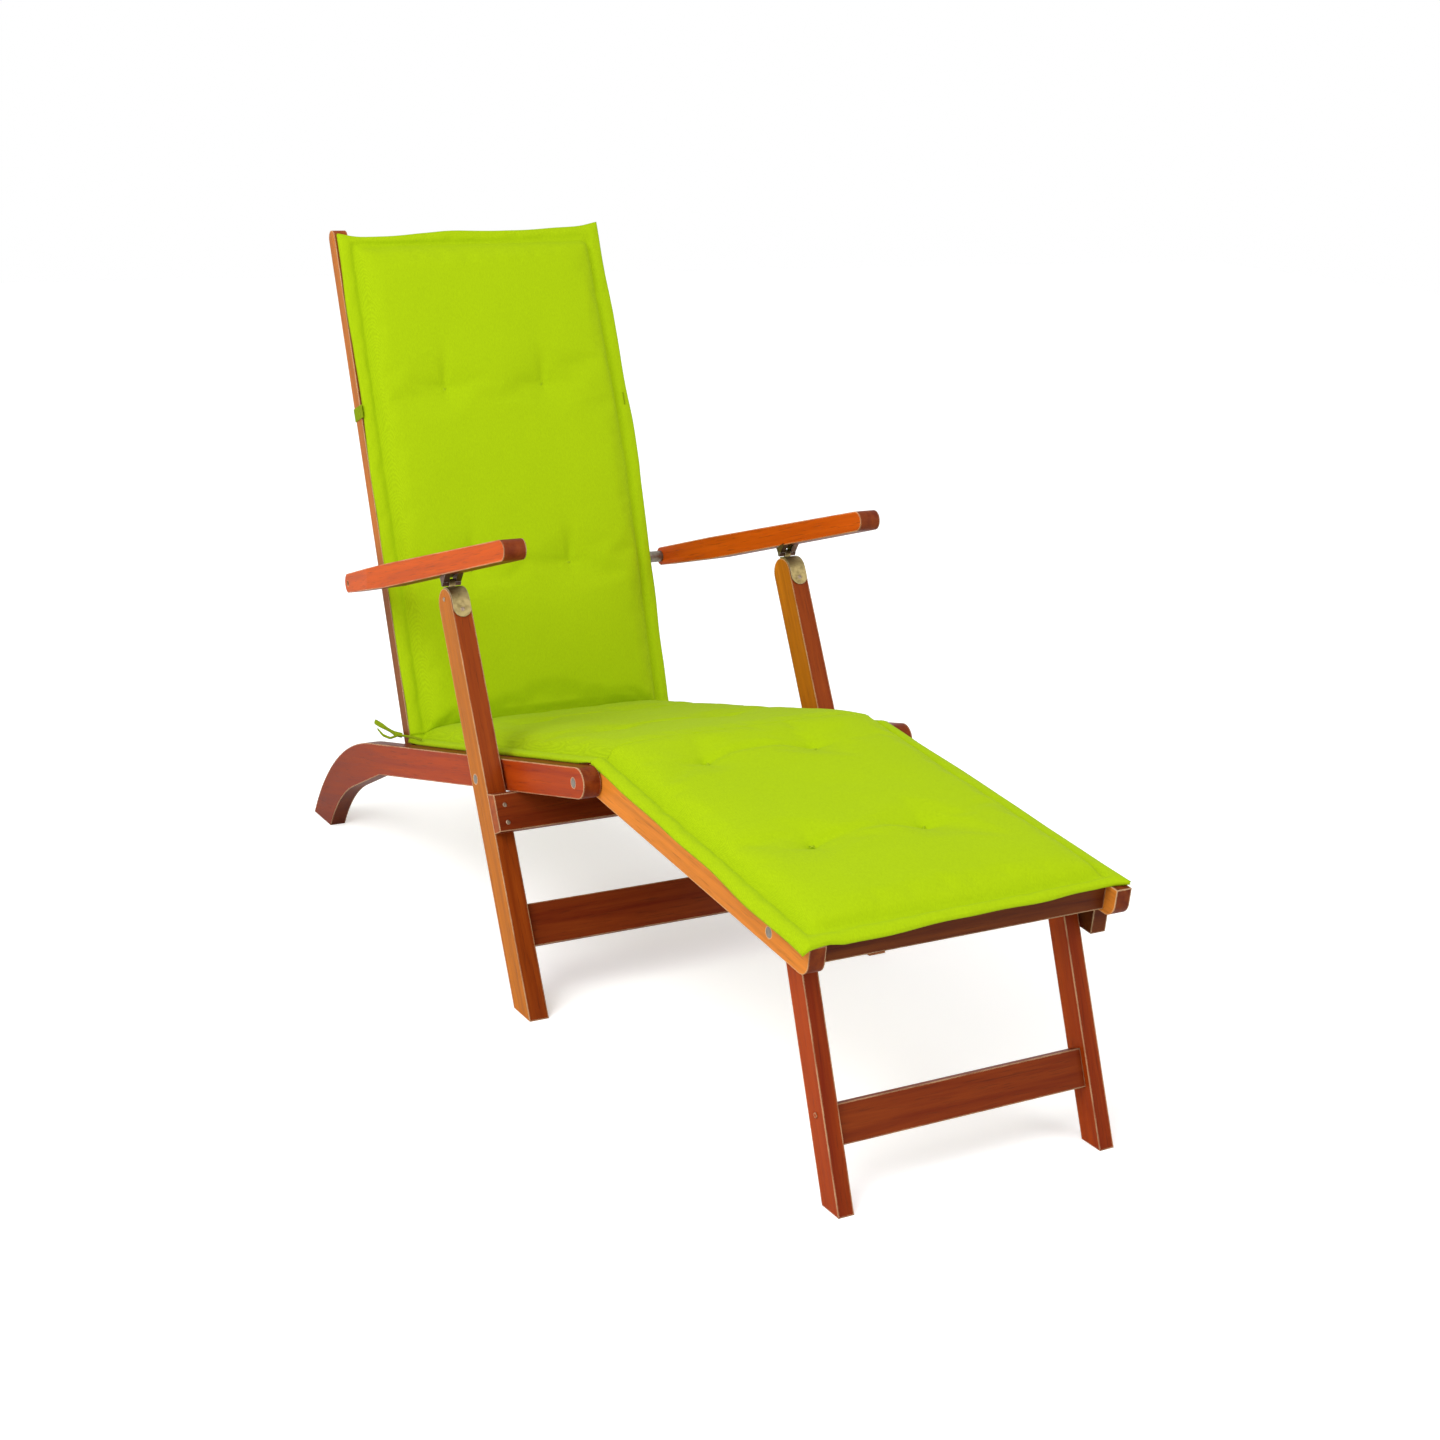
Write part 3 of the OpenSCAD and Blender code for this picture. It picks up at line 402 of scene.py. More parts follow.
# A tuft: room round its thread, the tail and width of its creases, and the hole
TUFT_ROOM, CREASE_TAIL, CREASE_WIDTH, CREASE_SPREAD = 0.009, 0.006, 0.004, 0.16
HOLE_DEPTH, HOLE_WIDTH, TUFT_THREAD_DOWN = 0.0035, 0.006, 0.0030
# The fold between two tufts: depth, width, bow, fade past its ends, and share that it runs past them
FOLD_DEPTH, FOLD_WIDTH, FOLD_BOW, FOLD_FADE, FOLD_PAST = 0.0034, 0.008, 0.010, 0.03, 0.12
SEAM_THREAD_UP = 0.0006
CLOTH_FRAMES = 20
# Creases that run out of a tuft: direction from straight up the pad, length, depth
UPRIGHT_CREASES = ((0.05, 0.062, 0.0044), (-1.50, 0.040, 0.0030), (1.65, 0.024, 0.0020), (3.0, 0.018, 0.0018))
LYING_CREASES = ((0.1, 0.026, 0.0018), (3.0, 0.026, 0.0018), (1.9, 0.018, 0.0014))


# How a pad ends: free with a border, folded into the crease, or run on over the bend
End = namedtuple("End", "kind slope meets_at", defaults=(0.0, 0.0))
FREE = End("free")


class Pad:
    """A flat-bordered, tufted pad, drawn in its line's own coordinates: along, y, up.

    left and right are half widths at the start, the middle and the end.
    """

    def __init__(self, name, line, start, end, tufts, settings, ends, left, right,
                 folded=False, lift=0.0008, skew=0.0, droop=0.0, wave_seed=0.0):
        self.name, self.line, self.start, self.end = name, line, start, end
        self.tufts, self.s, self.lift = tufts, settings, lift
        self.pairs = [tufts[:2], tufts[2:]] if folded else []
        self.creases = LYING_CREASES if folded else UPRIGHT_CREASES
        self.ends, self.left, self.right = ends, left, right
        self.skew, self.droop, self.seed = skew, droop, wave_seed
        b, w = settings.border_width, settings.half_width
        self.borders = [b if e.kind == "free" else 0.0 for e in ends]
        rim = [np.linspace(0, border, BORDER_CELLS + 1)[:-1] if border else np.array([0.0, JOINED_STEP])
               for border in self.borders]
        close = [0.0 if border else 2 * JOINED_STEP for border in self.borders]
        inner = end - start - sum(self.borders) - sum(close)
        self.xs = np.concatenate([
            start + rim[0],
            np.linspace(start + self.borders[0] + close[0], end - self.borders[1] - close[1],
                        round(inner / CELL) + 1),
            end - rim[1][::-1],
        ])
        side = np.linspace(0, b, BORDER_CELLS + 1)[:-1]
        self.ys = np.concatenate([
            -w + side,
            np.linspace(-w + b, w - b, round(2 * (w - b) / CELL) + 1),
            (w - side)[::-1],
        ])
        self.seam_rows = [len(rim[0]) if self.borders[0] else 0,
                          len(self.xs) - 1 - (len(rim[1]) if self.borders[1] else 0)]
        self.seam_columns = [BORDER_CELLS, len(self.ys) - 1 - BORDER_CELLS]

    def wobble(self, a, b, wave):
        height, scale = wave
        return height * noise.noise(Vector((a * scale, b * scale, self.seed)))

    def each_end(self):
        return zip(self.ends, (self.start, self.end))

    def calm(self, x):
        """0 at a joined end, where the neighbour has to meet the same height, 1 away from it."""
        return min([1.0] + [abs(x - edge) / CALM_OVER for how, edge in self.each_end() if how.kind != "free"])

    def along_share(self, x):
        return np.clip((x - self.start) / (self.end - self.start), 0, 1)

    def reach(self, t, y):
        """Half width on y's side at the share t of the length."""
        return np.where(y > 0, np.interp(t, (0, 0.5, 1), self.left), np.interp(t, (0, 0.5, 1), self.right))

    def placed(self, x, y, z):
        """Moves a plan point: sides and ends drawn in between the corners, waved and mitred."""
        s = self.s
        w = s.half_width
        t = self.along_share(x)
        near_side = share(1 - (w - abs(y)) / s.border_width)
        y_out = y * self.reach(t, y) / w + self.wobble(x, 3.1 if y > 0 else -2.2, SIDE_WAVE) * near_side
        x_out = x
        for (how, edge), sign in zip(self.each_end(), (1, -1)):
            if how.kind != "free":
                x_out += how.slope * (z - how.meets_at) * share(1 - abs(x - edge) / MITRE_OVER)
                continue
            near_end = share(1 - abs(x - edge) / s.border_width)
            pull = s.draw_in * (1 - (y / w) ** 8) + self.wobble(y, x, END_WAVE)
            pull -= CORNER_TIP * bell(w - abs(y), CORNER_REACH)
            x_out += sign * pull * near_end + self.skew * y / w * t ** 3
        return x_out, y_out, z

    def depth_in(self, x, y):
        """Distances inside the seam: from the free ends and from the sides."""
        s = self.s
        from_start = x - self.start - self.borders[0] if self.borders[0] else 1.0
        from_end = self.end - self.borders[1] - x if self.borders[1] else 1.0
        return from_start, from_end, s.half_width - s.border_width - abs(y)

    def top(self, x, y):
        s = self.s
        depths = self.depth_in(x, y)
        inside = min(depths)
        if inside <= 0:
            puff = math.sin(math.pi * share(1 + inside / s.border_width))
            z = self.lift + s.border_height * (BORDER_EDGE + BORDER_SWELL * puff)
            z += self.wobble(x, y, BORDER_WAVE) * puff
        else:
            crown = 1.0
            for d in depths:
                edge = 1 - share(d / s.rise)
                crown *= s.shoulder * math.sqrt(1 - edge * edge) + (1 - s.shoulder) * math.sin(
                    math.pi / 2 * share(d / (4 * s.rise)))
            seam = s.border_height * BORDER_EDGE
            z = self.lift + seam + (s.crown - seam) * crown
            z += crown * self.calm(x) * sum(self.wobble(x, y, wave) for wave in PANEL_WAVES)
        for tx, ty in self.tufts:
            z -= s.tuft_depth * bell(math.hypot(x - tx, y - ty), s.tuft_radius)
        for how, edge in self.each_end():
            if how.kind == "crease":
                off = 1 - share(abs(x - edge) / CREASE_ROLL)
                low = min(max(z, how.meets_at + CREASE_LOW), how.meets_at + CREASE_HIGH)
                z = low + (z - low) * math.sqrt(1 - off * off)
        return z

    def bottom(self, x, y):
        inside = min(self.depth_in(x, y))
        z = self.lift - share(inside / UNDER_OVER) * (self.lift - UNDER_AIR)
        for how, edge in self.each_end():
            away = abs(x - edge)
            if how.kind == "crease":
                z += CREASE_LIFT * share(1 - away / CREASE_LIFT_OVER) * share(self.lift / FULL_LIFT)
            elif how.kind == "bend" and edge == self.end:
                over_rails = share((abs(y) - RAIL_INSIDE) / RAIL_RAMP)
                z += RAIL_ROOM * over_rails * share(RAIL_ROOM_HOLD * (1 - away / RAIL_ROOM_OVER))
        return z

    def hang(self, co):
        """Lets the free front border and the near side's edge hang a little past the frame."""
        if self.droop:
            over = np.clip((co[:, 0] - (self.end - FRONT_HANG)) / FRONT_HANG_OVER, 0, 1)
            inside = 1 - np.clip((np.abs(co[:, 1]) - MIDDLE_HANG) / MIDDLE_HANG_OVER, 0, 1)
            co[:, 2] -= self.droop * over ** 1.6 * inside
            past = np.clip((-SIDE_HANG - co[:, 1]) / SIDE_HANG_OVER, 0, 1)
            co[:, 2] -= self.droop * past ** 1.4
        return co

    def sheet(self):
        plan = [(x, y) for x in self.xs for y in self.ys]
        top = np.array([self.placed(x, y, self.top(x, y)) for x, y in plan])
        low = np.array([self.placed(x, y, self.bottom(x, y)) for x, y in plan])
        grid = np.arange(len(plan)).reshape(len(self.xs), len(self.ys))
        cells = np.stack([grid[:-1, :-1], grid[1:, :-1], grid[1:, 1:], grid[:-1, 1:]], -1)
        rim = np.concatenate([grid[:-1, 0], grid[-1, :-1], grid[:0:-1, -1], grid[0, :0:-1]]).tolist()
        return np.array(plan), top, low, cells.reshape(-1, 4).tolist(), rim

    def pins(self, plan):
        """1 where the cloth is sewn down: outer edge, seam and tufts."""
        grid = np.zeros((len(self.xs), len(self.ys)))
        grid[[0, -1], :] = 1
        grid[:, [0, -1]] = 1
        (r0, r1), (c0, c1) = self.seam_rows, self.seam_columns
        grid[[r0, r1], c0:c1 + 1] = 1
        grid[r0:r1 + 1, [c0, c1]] = 1
        flat = grid.ravel()
        for tx, ty in self.tufts:
            flat[np.argmin(np.hypot(plan[:, 0] - tx, plan[:, 1] - ty))] = 1
        return flat

    def swollen(self, top, faces, pins):
        """Cloth under pressure between the seams, with the move capped."""
        obj = new_object("pad_cloth", mesh_from("pad_cloth", top, faces))
        group = obj.vertex_groups.new(name="sewn")
        group.add([int(k) for k in np.flatnonzero(pins)], 1.0, "REPLACE")
        mod = obj.modifiers.new("Cloth", "CLOTH")
        c = mod.settings
        c.quality = 6
        c.mass = 0.25
        c.tension_stiffness = c.compression_stiffness = 12
        c.shear_stiffness = 4
        c.bending_stiffness = self.s.bending
        c.use_pressure = True
        c.uniform_pressure_force = self.s.pressure
        c.shrink_min = -self.s.slack
        c.vertex_group_mass = "sewn"
        c.effector_weights.gravity = 0
        mod.collision_settings.use_collision = False
        mod.point_cache.frame_start = 1
        mod.point_cache.frame_end = CLOTH_FRAMES
        scene = bpy.context.scene
        for f in range(1, CLOTH_FRAMES + 1):
            scene.frame_set(f)
        graph = bpy.context.evaluated_depsgraph_get()
        move = corners_of(obj.evaluated_get(graph).to_mesh()) - top
        bpy.data.objects.remove(obj)
        scene.frame_set(1)
        size = np.linalg.norm(move, axis=1, keepdims=True)
        return top + move * np.minimum(1, self.s.cap / np.maximum(size, 1e-9))

    def sewn_in(self, co):
        """Seam groove, tuft creases and the fold that joins each pair, on the fine mesh."""
        s = self.s
        x = co[:, 0]
        y = co[:, 1] * s.half_width / self.reach(self.along_share(x), co[:, 1])
        from_start, from_end, from_side = self.depth_in(x, y)
        inside = np.minimum(np.minimum(from_start, from_end), from_side)
        dip = s.seam_depth * bell(inside, GROOVE_WIDTH)
        for tx, ty in self.tufts:
            dx, dy = x - tx, y - ty
            away = np.hypot(dx, dy)
            for way, length, depth in self.creases:
                ahead = dx * math.cos(way) + dy * math.sin(way)
                off = np.abs(dy * math.cos(way) - dx * math.sin(way))
                keep = np.where(ahead > 0, bell(ahead, length), bell(ahead, CREASE_TAIL))
                width = CREASE_WIDTH + CREASE_SPREAD * np.abs(ahead)
                dip += depth * bell(off, width) * keep * (1 - bell(away, TUFT_ROOM))
            dip += HOLE_DEPTH * bell(away, HOLE_WIDTH)
        for (ax, ay), (bx, by) in self.pairs:
            t = np.clip((y - ay) / (by - ay), -FOLD_PAST, 1 + FOLD_PAST)
            off = np.abs(x - (ax + (bx - ax) * t - FOLD_BOW * (1 - (2 * t - 1) ** 2)))
            outside = np.minimum(np.abs(y - ay), np.abs(y - by))
            inside = np.where((y - ay) * (y - by) < 0, 1, bell(outside, FOLD_FADE))
            dip += FOLD_DEPTH * bell(off, FOLD_WIDTH) * inside
        co[:, 2] -= dip
        return co

    def build(self, mat):
        plan, top, low, faces, rim = self.sheet()
        top = self.swollen(top, faces, self.pins(plan))
        n = len(plan)
        walls = [(a, b, n + b, n + a) for a, b in zip(rim, rim[1:] + rim[:1])]
        lower = [tuple(n + k for k in reversed(f)) for f in faces]
        obj = new_object(self.name, mesh_from(self.name, np.vstack([top, low]), faces + lower + walls))
        obj.modifiers.new("Smooth", "SUBSURF").levels = 1
        baked(obj)
        co = corners_of(obj.data)
        upper = corners_of(obj.data, "normal")[:, 2] > 0.2
        co[upper] = self.sewn_in(co[upper])
        co[:, 2] = np.maximum(co[:, 2], LEAST_UP)
        self.hang(co)
        obj.data.vertices.foreach_set("co", self.line.map(co).ravel())
        shade(obj.data)
        obj.data.materials.append(mat)
        outward(obj.data)
        self.top_grid = top.reshape(len(self.xs), len(self.ys), 3)
        return obj

    def seam_path(self):
        """The seam on the top, in the frame: along both sides and across each free end."""
        (r0, r1), (c0, c1) = self.seam_rows, self.seam_columns
        g = self.top_grid
        paths = [g[r0:r1 + 1, c0], g[r0:r1 + 1, c1]]
        paths += [g[r, c0:c1 + 1] for r, w in zip((r0, r1), self.borders) if w]
        down = (0, 0, self.s.seam_depth - SEAM_THREAD_UP)
        return [self.line.map(self.hang(path - down)) for path in paths]

    def tuft_places(self):
        g = self.top_grid.reshape(-1, 3)
        out = []
        for tx, ty in self.tufts:
            at = ty * self.reach(self.along_share(tx), ty) / self.s.half_width
            p = g[np.argmin(np.hypot(g[:, 0] - tx, g[:, 1] - at))] - (0, 0, TUFT_THREAD_DOWN)
            out.append(self.line.map(p[None])[0])
        return out


# What repeats is placed by geometry nodes


def repeat_group(name, along_path):
    """Stamps an object on a path at a spacing, or on loose points that hold their own direction."""
    tree = bpy.data.node_groups.new(name, "GeometryNodeTree")
    for port, kind in (("Geometry", "Geometry"), ("Stamp", "Object"), ("Spacing", "Float"),
                       ("Turn spread", "Float"), ("Seed", "Int"), ("Material", "Material")):
        tree.interface.new_socket(port, in_out="INPUT", socket_type="NodeSocket" + kind)
    tree.interface.new_socket("Geometry", in_out="OUTPUT", socket_type="NodeSocketGeometry")
    n = Nodes(tree)
    given = n.add("NodeGroupInput").outputs
    stamp = n.add("GeometryNodeObjectInfo", {"Object": given["Stamp"]}).outputs["Geometry"]
    if along_path:
        curve = n.out("GeometryNodeMeshToCurve", {0: given["Geometry"]})
        points = n.out("GeometryNodeResampleCurve", {"Curve": curve, "Length": given["Spacing"]},
                       mode="LENGTH")
        way = n.out("GeometryNodeInputTangent")
        axis = "X"
    else:
        points = n.out("GeometryNodeMeshToPoints", {0: given["Geometry"]})
        way = n.out("GeometryNodeInputNamedAttribute", {"Name": "way"}, data_type="FLOAT_VECTOR")
        axis = "Z"
    aligned = n.out("FunctionNodeAlignRotationToVector", {"Vector": way}, axis=axis)
    spread = n.add("FunctionNodeRandomValue", {2: 0.0, 3: given["Turn spread"], "Seed": given["Seed"]},
                   data_type="FLOAT").outputs[1]
    spin = n.out("ShaderNodeCombineXYZ", {axis: spread})
    turn = n.out("FunctionNodeEulerToRotation", {0: spin})
    turned = n.out("FunctionNodeRotateRotation", {0: aligned, 1: turn}, rotation_space="LOCAL")
    placed = n.out("GeometryNodeInstanceOnPoints", {"Points": points, "Instance": stamp, "Rotation": turned})
    plain = n.out("GeometryNodeRealizeInstances", {0: placed})
    painted = n.out("GeometryNodeSetMaterial", {"Geometry": plain, "Material": given["Material"]})
    n.add("NodeGroupOutput", {0: painted})
    return tree


def repeated(name, mesh, group, stamp, paint, spread, seed, spacing=0.0):
    """Runs a repeat group on a mesh and returns the plain result."""
    values = {"Stamp": stamp, "Spacing": spacing, "Turn spread": spread, "Seed": seed,
              "Material": own(paint)}
    obj = new_object(name, mesh)
    mod = obj.modifiers.new("Repeat", "NODES")
    mod.node_group = group
    ids = {item.name: item.identifier for item in group.interface.items_tree if item.in_out == "INPUT"}
    for key, value in values.items():
        mod[ids[key]] = value
    baked(obj)
    shade(obj.data)
    return obj


def tube(first, rings, sides):
    """Faces of a closed tube, its rings of corners counted on from the first."""
    faces = [(a + k, a + (k + 1) % sides, a + sides + (k + 1) % sides, a + sides + k)
             for a in range(first, first + (rings - 1) * sides, sides) for k in range(sides)]
    last = first + (rings - 1) * sides
    return faces + [tuple(range(first, first + sides)), tuple(range(last, last + sides))[::-1]]


def stitch_stamp(length, radius):
    """One stitch: a short bowed thread that dives in at both ends, lying along X."""
    steps, sides = 6, 6
    co = []
    for i in range(steps + 1):
        t = i / steps
        r = radius * (0.35 + 0.65 * math.sin(math.pi * t))
        for k in range(sides):
            a = 2 * math.pi * k / sides
            co.append((length * (t - 0.5), r * math.cos(a), r * math.sin(a) + radius * math.sin(math.pi * t)))
    mesh = mesh_from("stitch_stamp", co, tube(0, steps + 1, sides))
    outward(mesh)
    return new_object("stitch_stamp", mesh)


def screw_stamp(radius, height):
    """A pan head with a cross recess, its axis along Z."""
    bm = bmesh.new()
    # Shares of the radius and of the height, from the recess out to the rim
    profile = [(0.45, 0.97), (0.75, 0.8), (0.93, 0.45), (1, 0)]
    sides = 24
    turns = [2 * math.pi * k / sides for k in range(sides)]
    rings = [[bm.verts.new((radius * r * math.cos(a), radius * r * math.sin(a), height * z)) for a in turns]
             for r, z in profile]
    for a, b in zip(rings, rings[1:]):
        for k in range(sides):
            m = (k + 1) % sides
            bm.faces.new((a[k], b[k], b[m], a[m]))
    bm.faces.new(rings[-1][::-1])
    arm, half = radius * 0.42, radius * 0.09
    outline = [(arm, half), (half, half), (half, arm), (-half, arm), (-half, half), (-arm, half),
               (-arm, -half), (-half, -half), (-half, -arm), (half, -arm), (half, -half), (arm, -half)]
    hub = [bm.verts.new((x, y, height)) for x, y in outline]
    deep = [bm.verts.new((x * 0.8, y * 0.8, height * 0.45)) for x, y in outline]
    for k in range(len(outline)):
        m = (k + 1) % len(outline)
        bm.faces.new((hub[k], hub[m], deep[m], deep[k]))
    bm.faces.new(deep)
    ring_edges = [e for e in bm.edges if all(v in rings[0] for v in e.verts)]
    hub_edges = [e for e in bm.edges if all(v in hub for v in e.verts)]
    bmesh.ops.bridge_loops(bm, edges=ring_edges + hub_edges)
    bmesh.ops.triangulate(bm, faces=bm.faces)
    bmesh.ops.recalc_face_normals(bm, faces=bm.faces)
    mesh = bpy.data.meshes.new("screw_stamp")
    bm.to_mesh(mesh)
    bm.free()
    return new_object("screw_stamp", mesh)


def islands(obj):
    """The corners of each separate solid in a node's mesh."""
    bm = bmesh.new()
    bm.from_mesh(obj.data)
    join_corners(bm)
    left, found = set(bm.verts), []
    while left:
        stack, group = [next(iter(left))], []
        left.discard(stack[0])
        while stack:
            v = stack.pop()
            group.append(v.co.copy())
            for e in v.link_edges:
                w = e.other_vert(v)
                if w in left:
                    left.discard(w)
                    stack.append(w)
        found.append(np.array(group))
    bm.free()
    return sorted(found, key=lambda g: tuple(g.mean(0).round(5)))


def point_mesh(name, places, ways):
    mesh = bpy.data.meshes.new(name)
    mesh.from_pydata([tuple(p) for p in places], [], [])
    attribute = mesh.attributes.new("way", "FLOAT_VECTOR", "POINT")
    attribute.data.foreach_set("vector", np.array(ways, np.float32).ravel())
    return mesh


def path_mesh(name, paths):
    mesh = bpy.data.meshes.new(name)
    points, edges = [], []
    for path in paths:
        edges += [(len(points) + k, len(points) + k + 1) for k in range(len(path) - 1)]
        points += [tuple(p) for p in path]
    mesh.from_pydata(points, edges, [])
    return mesh


# Settings


def number(name, text, default, **more):
    return FloatProperty(name=name, description=text, default=default, **more)


def length(name, text, default):
    return number(name, text, default, unit="LENGTH")


def angle(name, text, degrees):
    return number(name, text, math.radians(degrees), subtype="ANGLE")


class PadSettings(bpy.types.PropertyGroup):
    half_width: length("Half width", "Half the width of the pads", 0.2245)
    border_width: length("Border", "Width of the flat sewn border", 0.023)
    border_height: length("Border height", "Height of the border's middle", 0.009)
    crown: length("Crown", "Height of the stuffed panel", 0.024)
    rise: length("Rise", "Distance over which the panel's edge rises", 0.022)
    shoulder: number("Shoulder", "Share of the height gained at the panel's edge", 0.74, subtype="FACTOR")
    draw_in: length("Draw in", "How far the free ends pull in", 0.004)
    tuft_depth: length("Tuft depth", "Depth of a sewn tuft", 0.007)
    tuft_radius: length("Tuft radius", "Spread of the dimple", 0.026)
    seam_depth: length("Seam depth", "Depth of the seam's groove", 0.0022)
    pressure: number("Pressure", "Cloth pressure", 1.6)
    slack: number("Slack", "Spare cloth between the seams", 0.006)
    bending: number("Bending", "Bending stiffness of the cloth", 1.5)
    cap: length("Cap", "Furthest that a point may move", 0.004)
    stitch_pitch: length("Stitch pitch", "Distance between stitches", 0.0042)
    seed: IntProperty(name="Seed", description="Seed of the small differences", default=7)


class FinishSettings(bpy.types.PropertyGroup):
    grain_scale: number("Grain", "Scale of the wood grain", 1.0)
    wear: number("Wear", "How worn the edges are", 0.8, subtype="FACTOR")
    weave_scale: number("Weave", "Scale of the weave", 1.0)


class StageSettings(bpy.types.PropertyGroup):
    lens: number("Lens", "Focal length in millimetres", 56.15)
    azimuth: angle("Azimuth", "Turn of the view", 59.73)
    elevation: angle("Elevation", "Height of the view", 16.64)
    roll: angle("Roll", "Roll of the view", 2.15)
    key: number("Key", "Power of the key light", 70.0, unit="POWER")
    fill: number("Fill", "Power of the fill light", 22.0, unit="POWER")
    sky: number("Sky", "Strength of the surroundings", 0.8)
    floor_lift: number("Floor lift", "Light that the camera sees added to the floor", 0.36)


def own(name):
    """A material made by the finishes operator."""
    return bpy.data.materials[name]


def both(name):
    return [f"{name}_left", f"{name}_right"]


# Turn of the grain, nodes, side colour and front colour with painted light and shade, grain offset, and the
# painted shade ramp (see wood)
WOODS = {
    # The last entries of seat_wood and back_wood paint shade: darker towards the rear on the seat rails and
    # below the arms on the back rails.
    "seat_wood": ((0, SEAT_PITCH, 0), both("seat_rail"),
                  (180, 58, 8), (122, 44, 16), 1.3, (0, -0.72, -0.28, 0.5)),
    "back_wood": ((0, BACK_ANGLE, 0), both("back_rail"),
                  (206, 118, 40), (150, 66, 28), 2.1, (2, 0.40, 0.52, 0.62)),
    "arm_wood": ((0, ARM_ANGLE, 0), both("arm"), (218, 84, 5), (126, 48, 24), 3.7, None),
    "leg_wood": ((0, LEG_ANGLE, 0), both("leg"), (204, 116, 24), (148, 56, 10), 4.9, None),
    "footrest_wood": ((0, FOOT_ANGLE, 0), both("footrest_rail"),
                      (232, 138, 48), (112, 40, 18), 5.3, None),
    # The footrest legs' colours are partly painted shade, darkened to the shaded outer face of the near leg.
    "footrest_leg_wood": ((0, FOOT_LEG_ANGLE, 0),
                          both("footrest_leg") + ["footrest_screws"],
                          (178, 62, 8), (134, 36, 8), 6.1, None),
    "cross_wood": ((0, 0, math.pi / 2), ["upper_stretcher", "lower_stretcher", "footrest_stretcher"],
                   (170, 78, 32), (122, 38, 14), 7.7, None),
    # Apron and stop block: a near black-brown that is painted shade, for parts that stand in shadow.
    "shaded_wood": ((0, 0, math.pi / 2), ["footrest_apron", "stop_block"],
                    (74, 26, 12), (84, 30, 14), 9.1, None),
    "slat_wood": ((0, 0, math.pi / 2), ["seat_slats", "back_slats", "footrest_slats"],
                  (180, 90, 38), (158, 68, 28), 8.3, None),
}
METALS = {
    "bolt_steel": ((0.24, 0.21, 0.17, 1), 0.4, ["back_bolts", "leg_bolts", "leg_spacers", "footrest_bolts",
                                                 "arm_pins", "arm_spacers", "hinge_pins",
                                                 "footrest_leg_bolts", "footrest_spacers"]),
    "bracket_steel": ((0.16, 0.09, 0.06, 1), 0.45, both("bracket")),
    "strap_brass": ((0.36, 0.28, 0.12, 1), 0.42, both("strap")),
    "screw_steel": ((0.34, 0.25, 0.17, 1), 0.4, []),
}


class CHAISE_OT_finishes(bpy.types.Operator):
    """Gives every CAD node its wood or metal"""

    bl_idname = "chaise.finishes"
    bl_label = "Wood and metal"

    def execute(self, context):
        finish = context.scene.chaise_finish
        for name, (turn, nodes, side, front, seed, shade_ramp) in WOODS.items():
            self.paint(wood(name, turn, srgb(*side), srgb(*front), finish, seed, shade_ramp), nodes)
        for name, (colour, rough, nodes) in METALS.items():
            self.paint(metal(name, colour, rough, finish), nodes)
        self.paint(cloth("elastic_cloth", srgb(152, 174, 16), finish, srgb(112, 130, 10), 0.0016),
                   ["elastic_straps"])
        cloth("pad_cloth", srgb(179, 208, 16), finish, srgb(150, 178, 10))
        cloth("thread", srgb(150, 176, 16), finish, srgb(112, 134, 8), 0.0006)
        cloth("tuft_thread", srgb(186, 210, 40), finish, srgb(140, 164, 20), 0.0006)
        return {"FINISHED"}

    @staticmethod
    def paint(mat, nodes):
        for node in nodes:
            data = bpy.data.objects[node].data
            data.materials.clear()
            data.materials.append(mat)


PADS = {}


def laid(obj, body, node=None):
    """Lets a piece of a pad ride its body, with a mesh of its own, and hides the CAD node that it replaces.
    """
    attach(obj, body)
    if node:
        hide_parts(node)
    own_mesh(obj)


class CHAISE_OT_pads(bpy.types.Operator):
    """Makes the three sewn, tufted pads of the seat, the back and the footrest"""

    bl_idname = "chaise.pads"
    bl_label = "Pads"

    def execute(self, context):
        s = context.scene.chaise_pads
        line = lines()
        crease_air, bend_air = 0.0004, 0.00015
        fold = 1 / math.tan((BACK_ANGLE - SEAT_PITCH) / 2)
        bend = math.tan((SEAT_PITCH - FOOT_ANGLE) / 2)
        PADS["back"] = Pad(
            "pad_back", line["back"], line["back"].along_of(line["crease"]) + crease_air, 0.8225,
            [(x, y) for x in (0.276, 0.565) for y in (0.077, -0.088)], s,
            ends=(End("crease", fold, 0.0018), FREE), left=(0.222, 0.2385, 0.227),
            right=(0.2245, 0.2245, 0.222), skew=0.007, wave_seed=1.5 + s.seed)
        PADS["seat"] = Pad(
            "pad_seat", line["seat"], CREASE_ALONG + crease_air, 0.6346,
            [(x, y) for x in (0.178, 0.441) for y in (0.070, -0.105)], s,
            ends=(End("crease", fold, 0.014), End("bend", bend, 0.0045)), left=(0.2285, 0.2290, 0.2285),
            right=(0.2285, 0.2300, 0.2285), folded=True, lift=0.0045, wave_seed=2.5 + s.seed)
        PADS["footrest"] = Pad(
            "pad_footrest", line["footrest"], bend_air, 0.5335,
            [(x, y) for x in (0.072, 0.336) for y in (0.058, -0.098)], s,
            ends=(End("bend", -bend, 0.0008), FREE), left=(0.2285, 0.2285, 0.2285),
            right=(0.2285, 0.233, 0.239), folded=True, skew=-0.007, droop=0.005, wave_seed=3.5 + s.seed)
        for body, pad in PADS.items():
            laid(pad.build(own("pad_cloth")), body, f"{body}_pad")
        return {"FINISHED"}


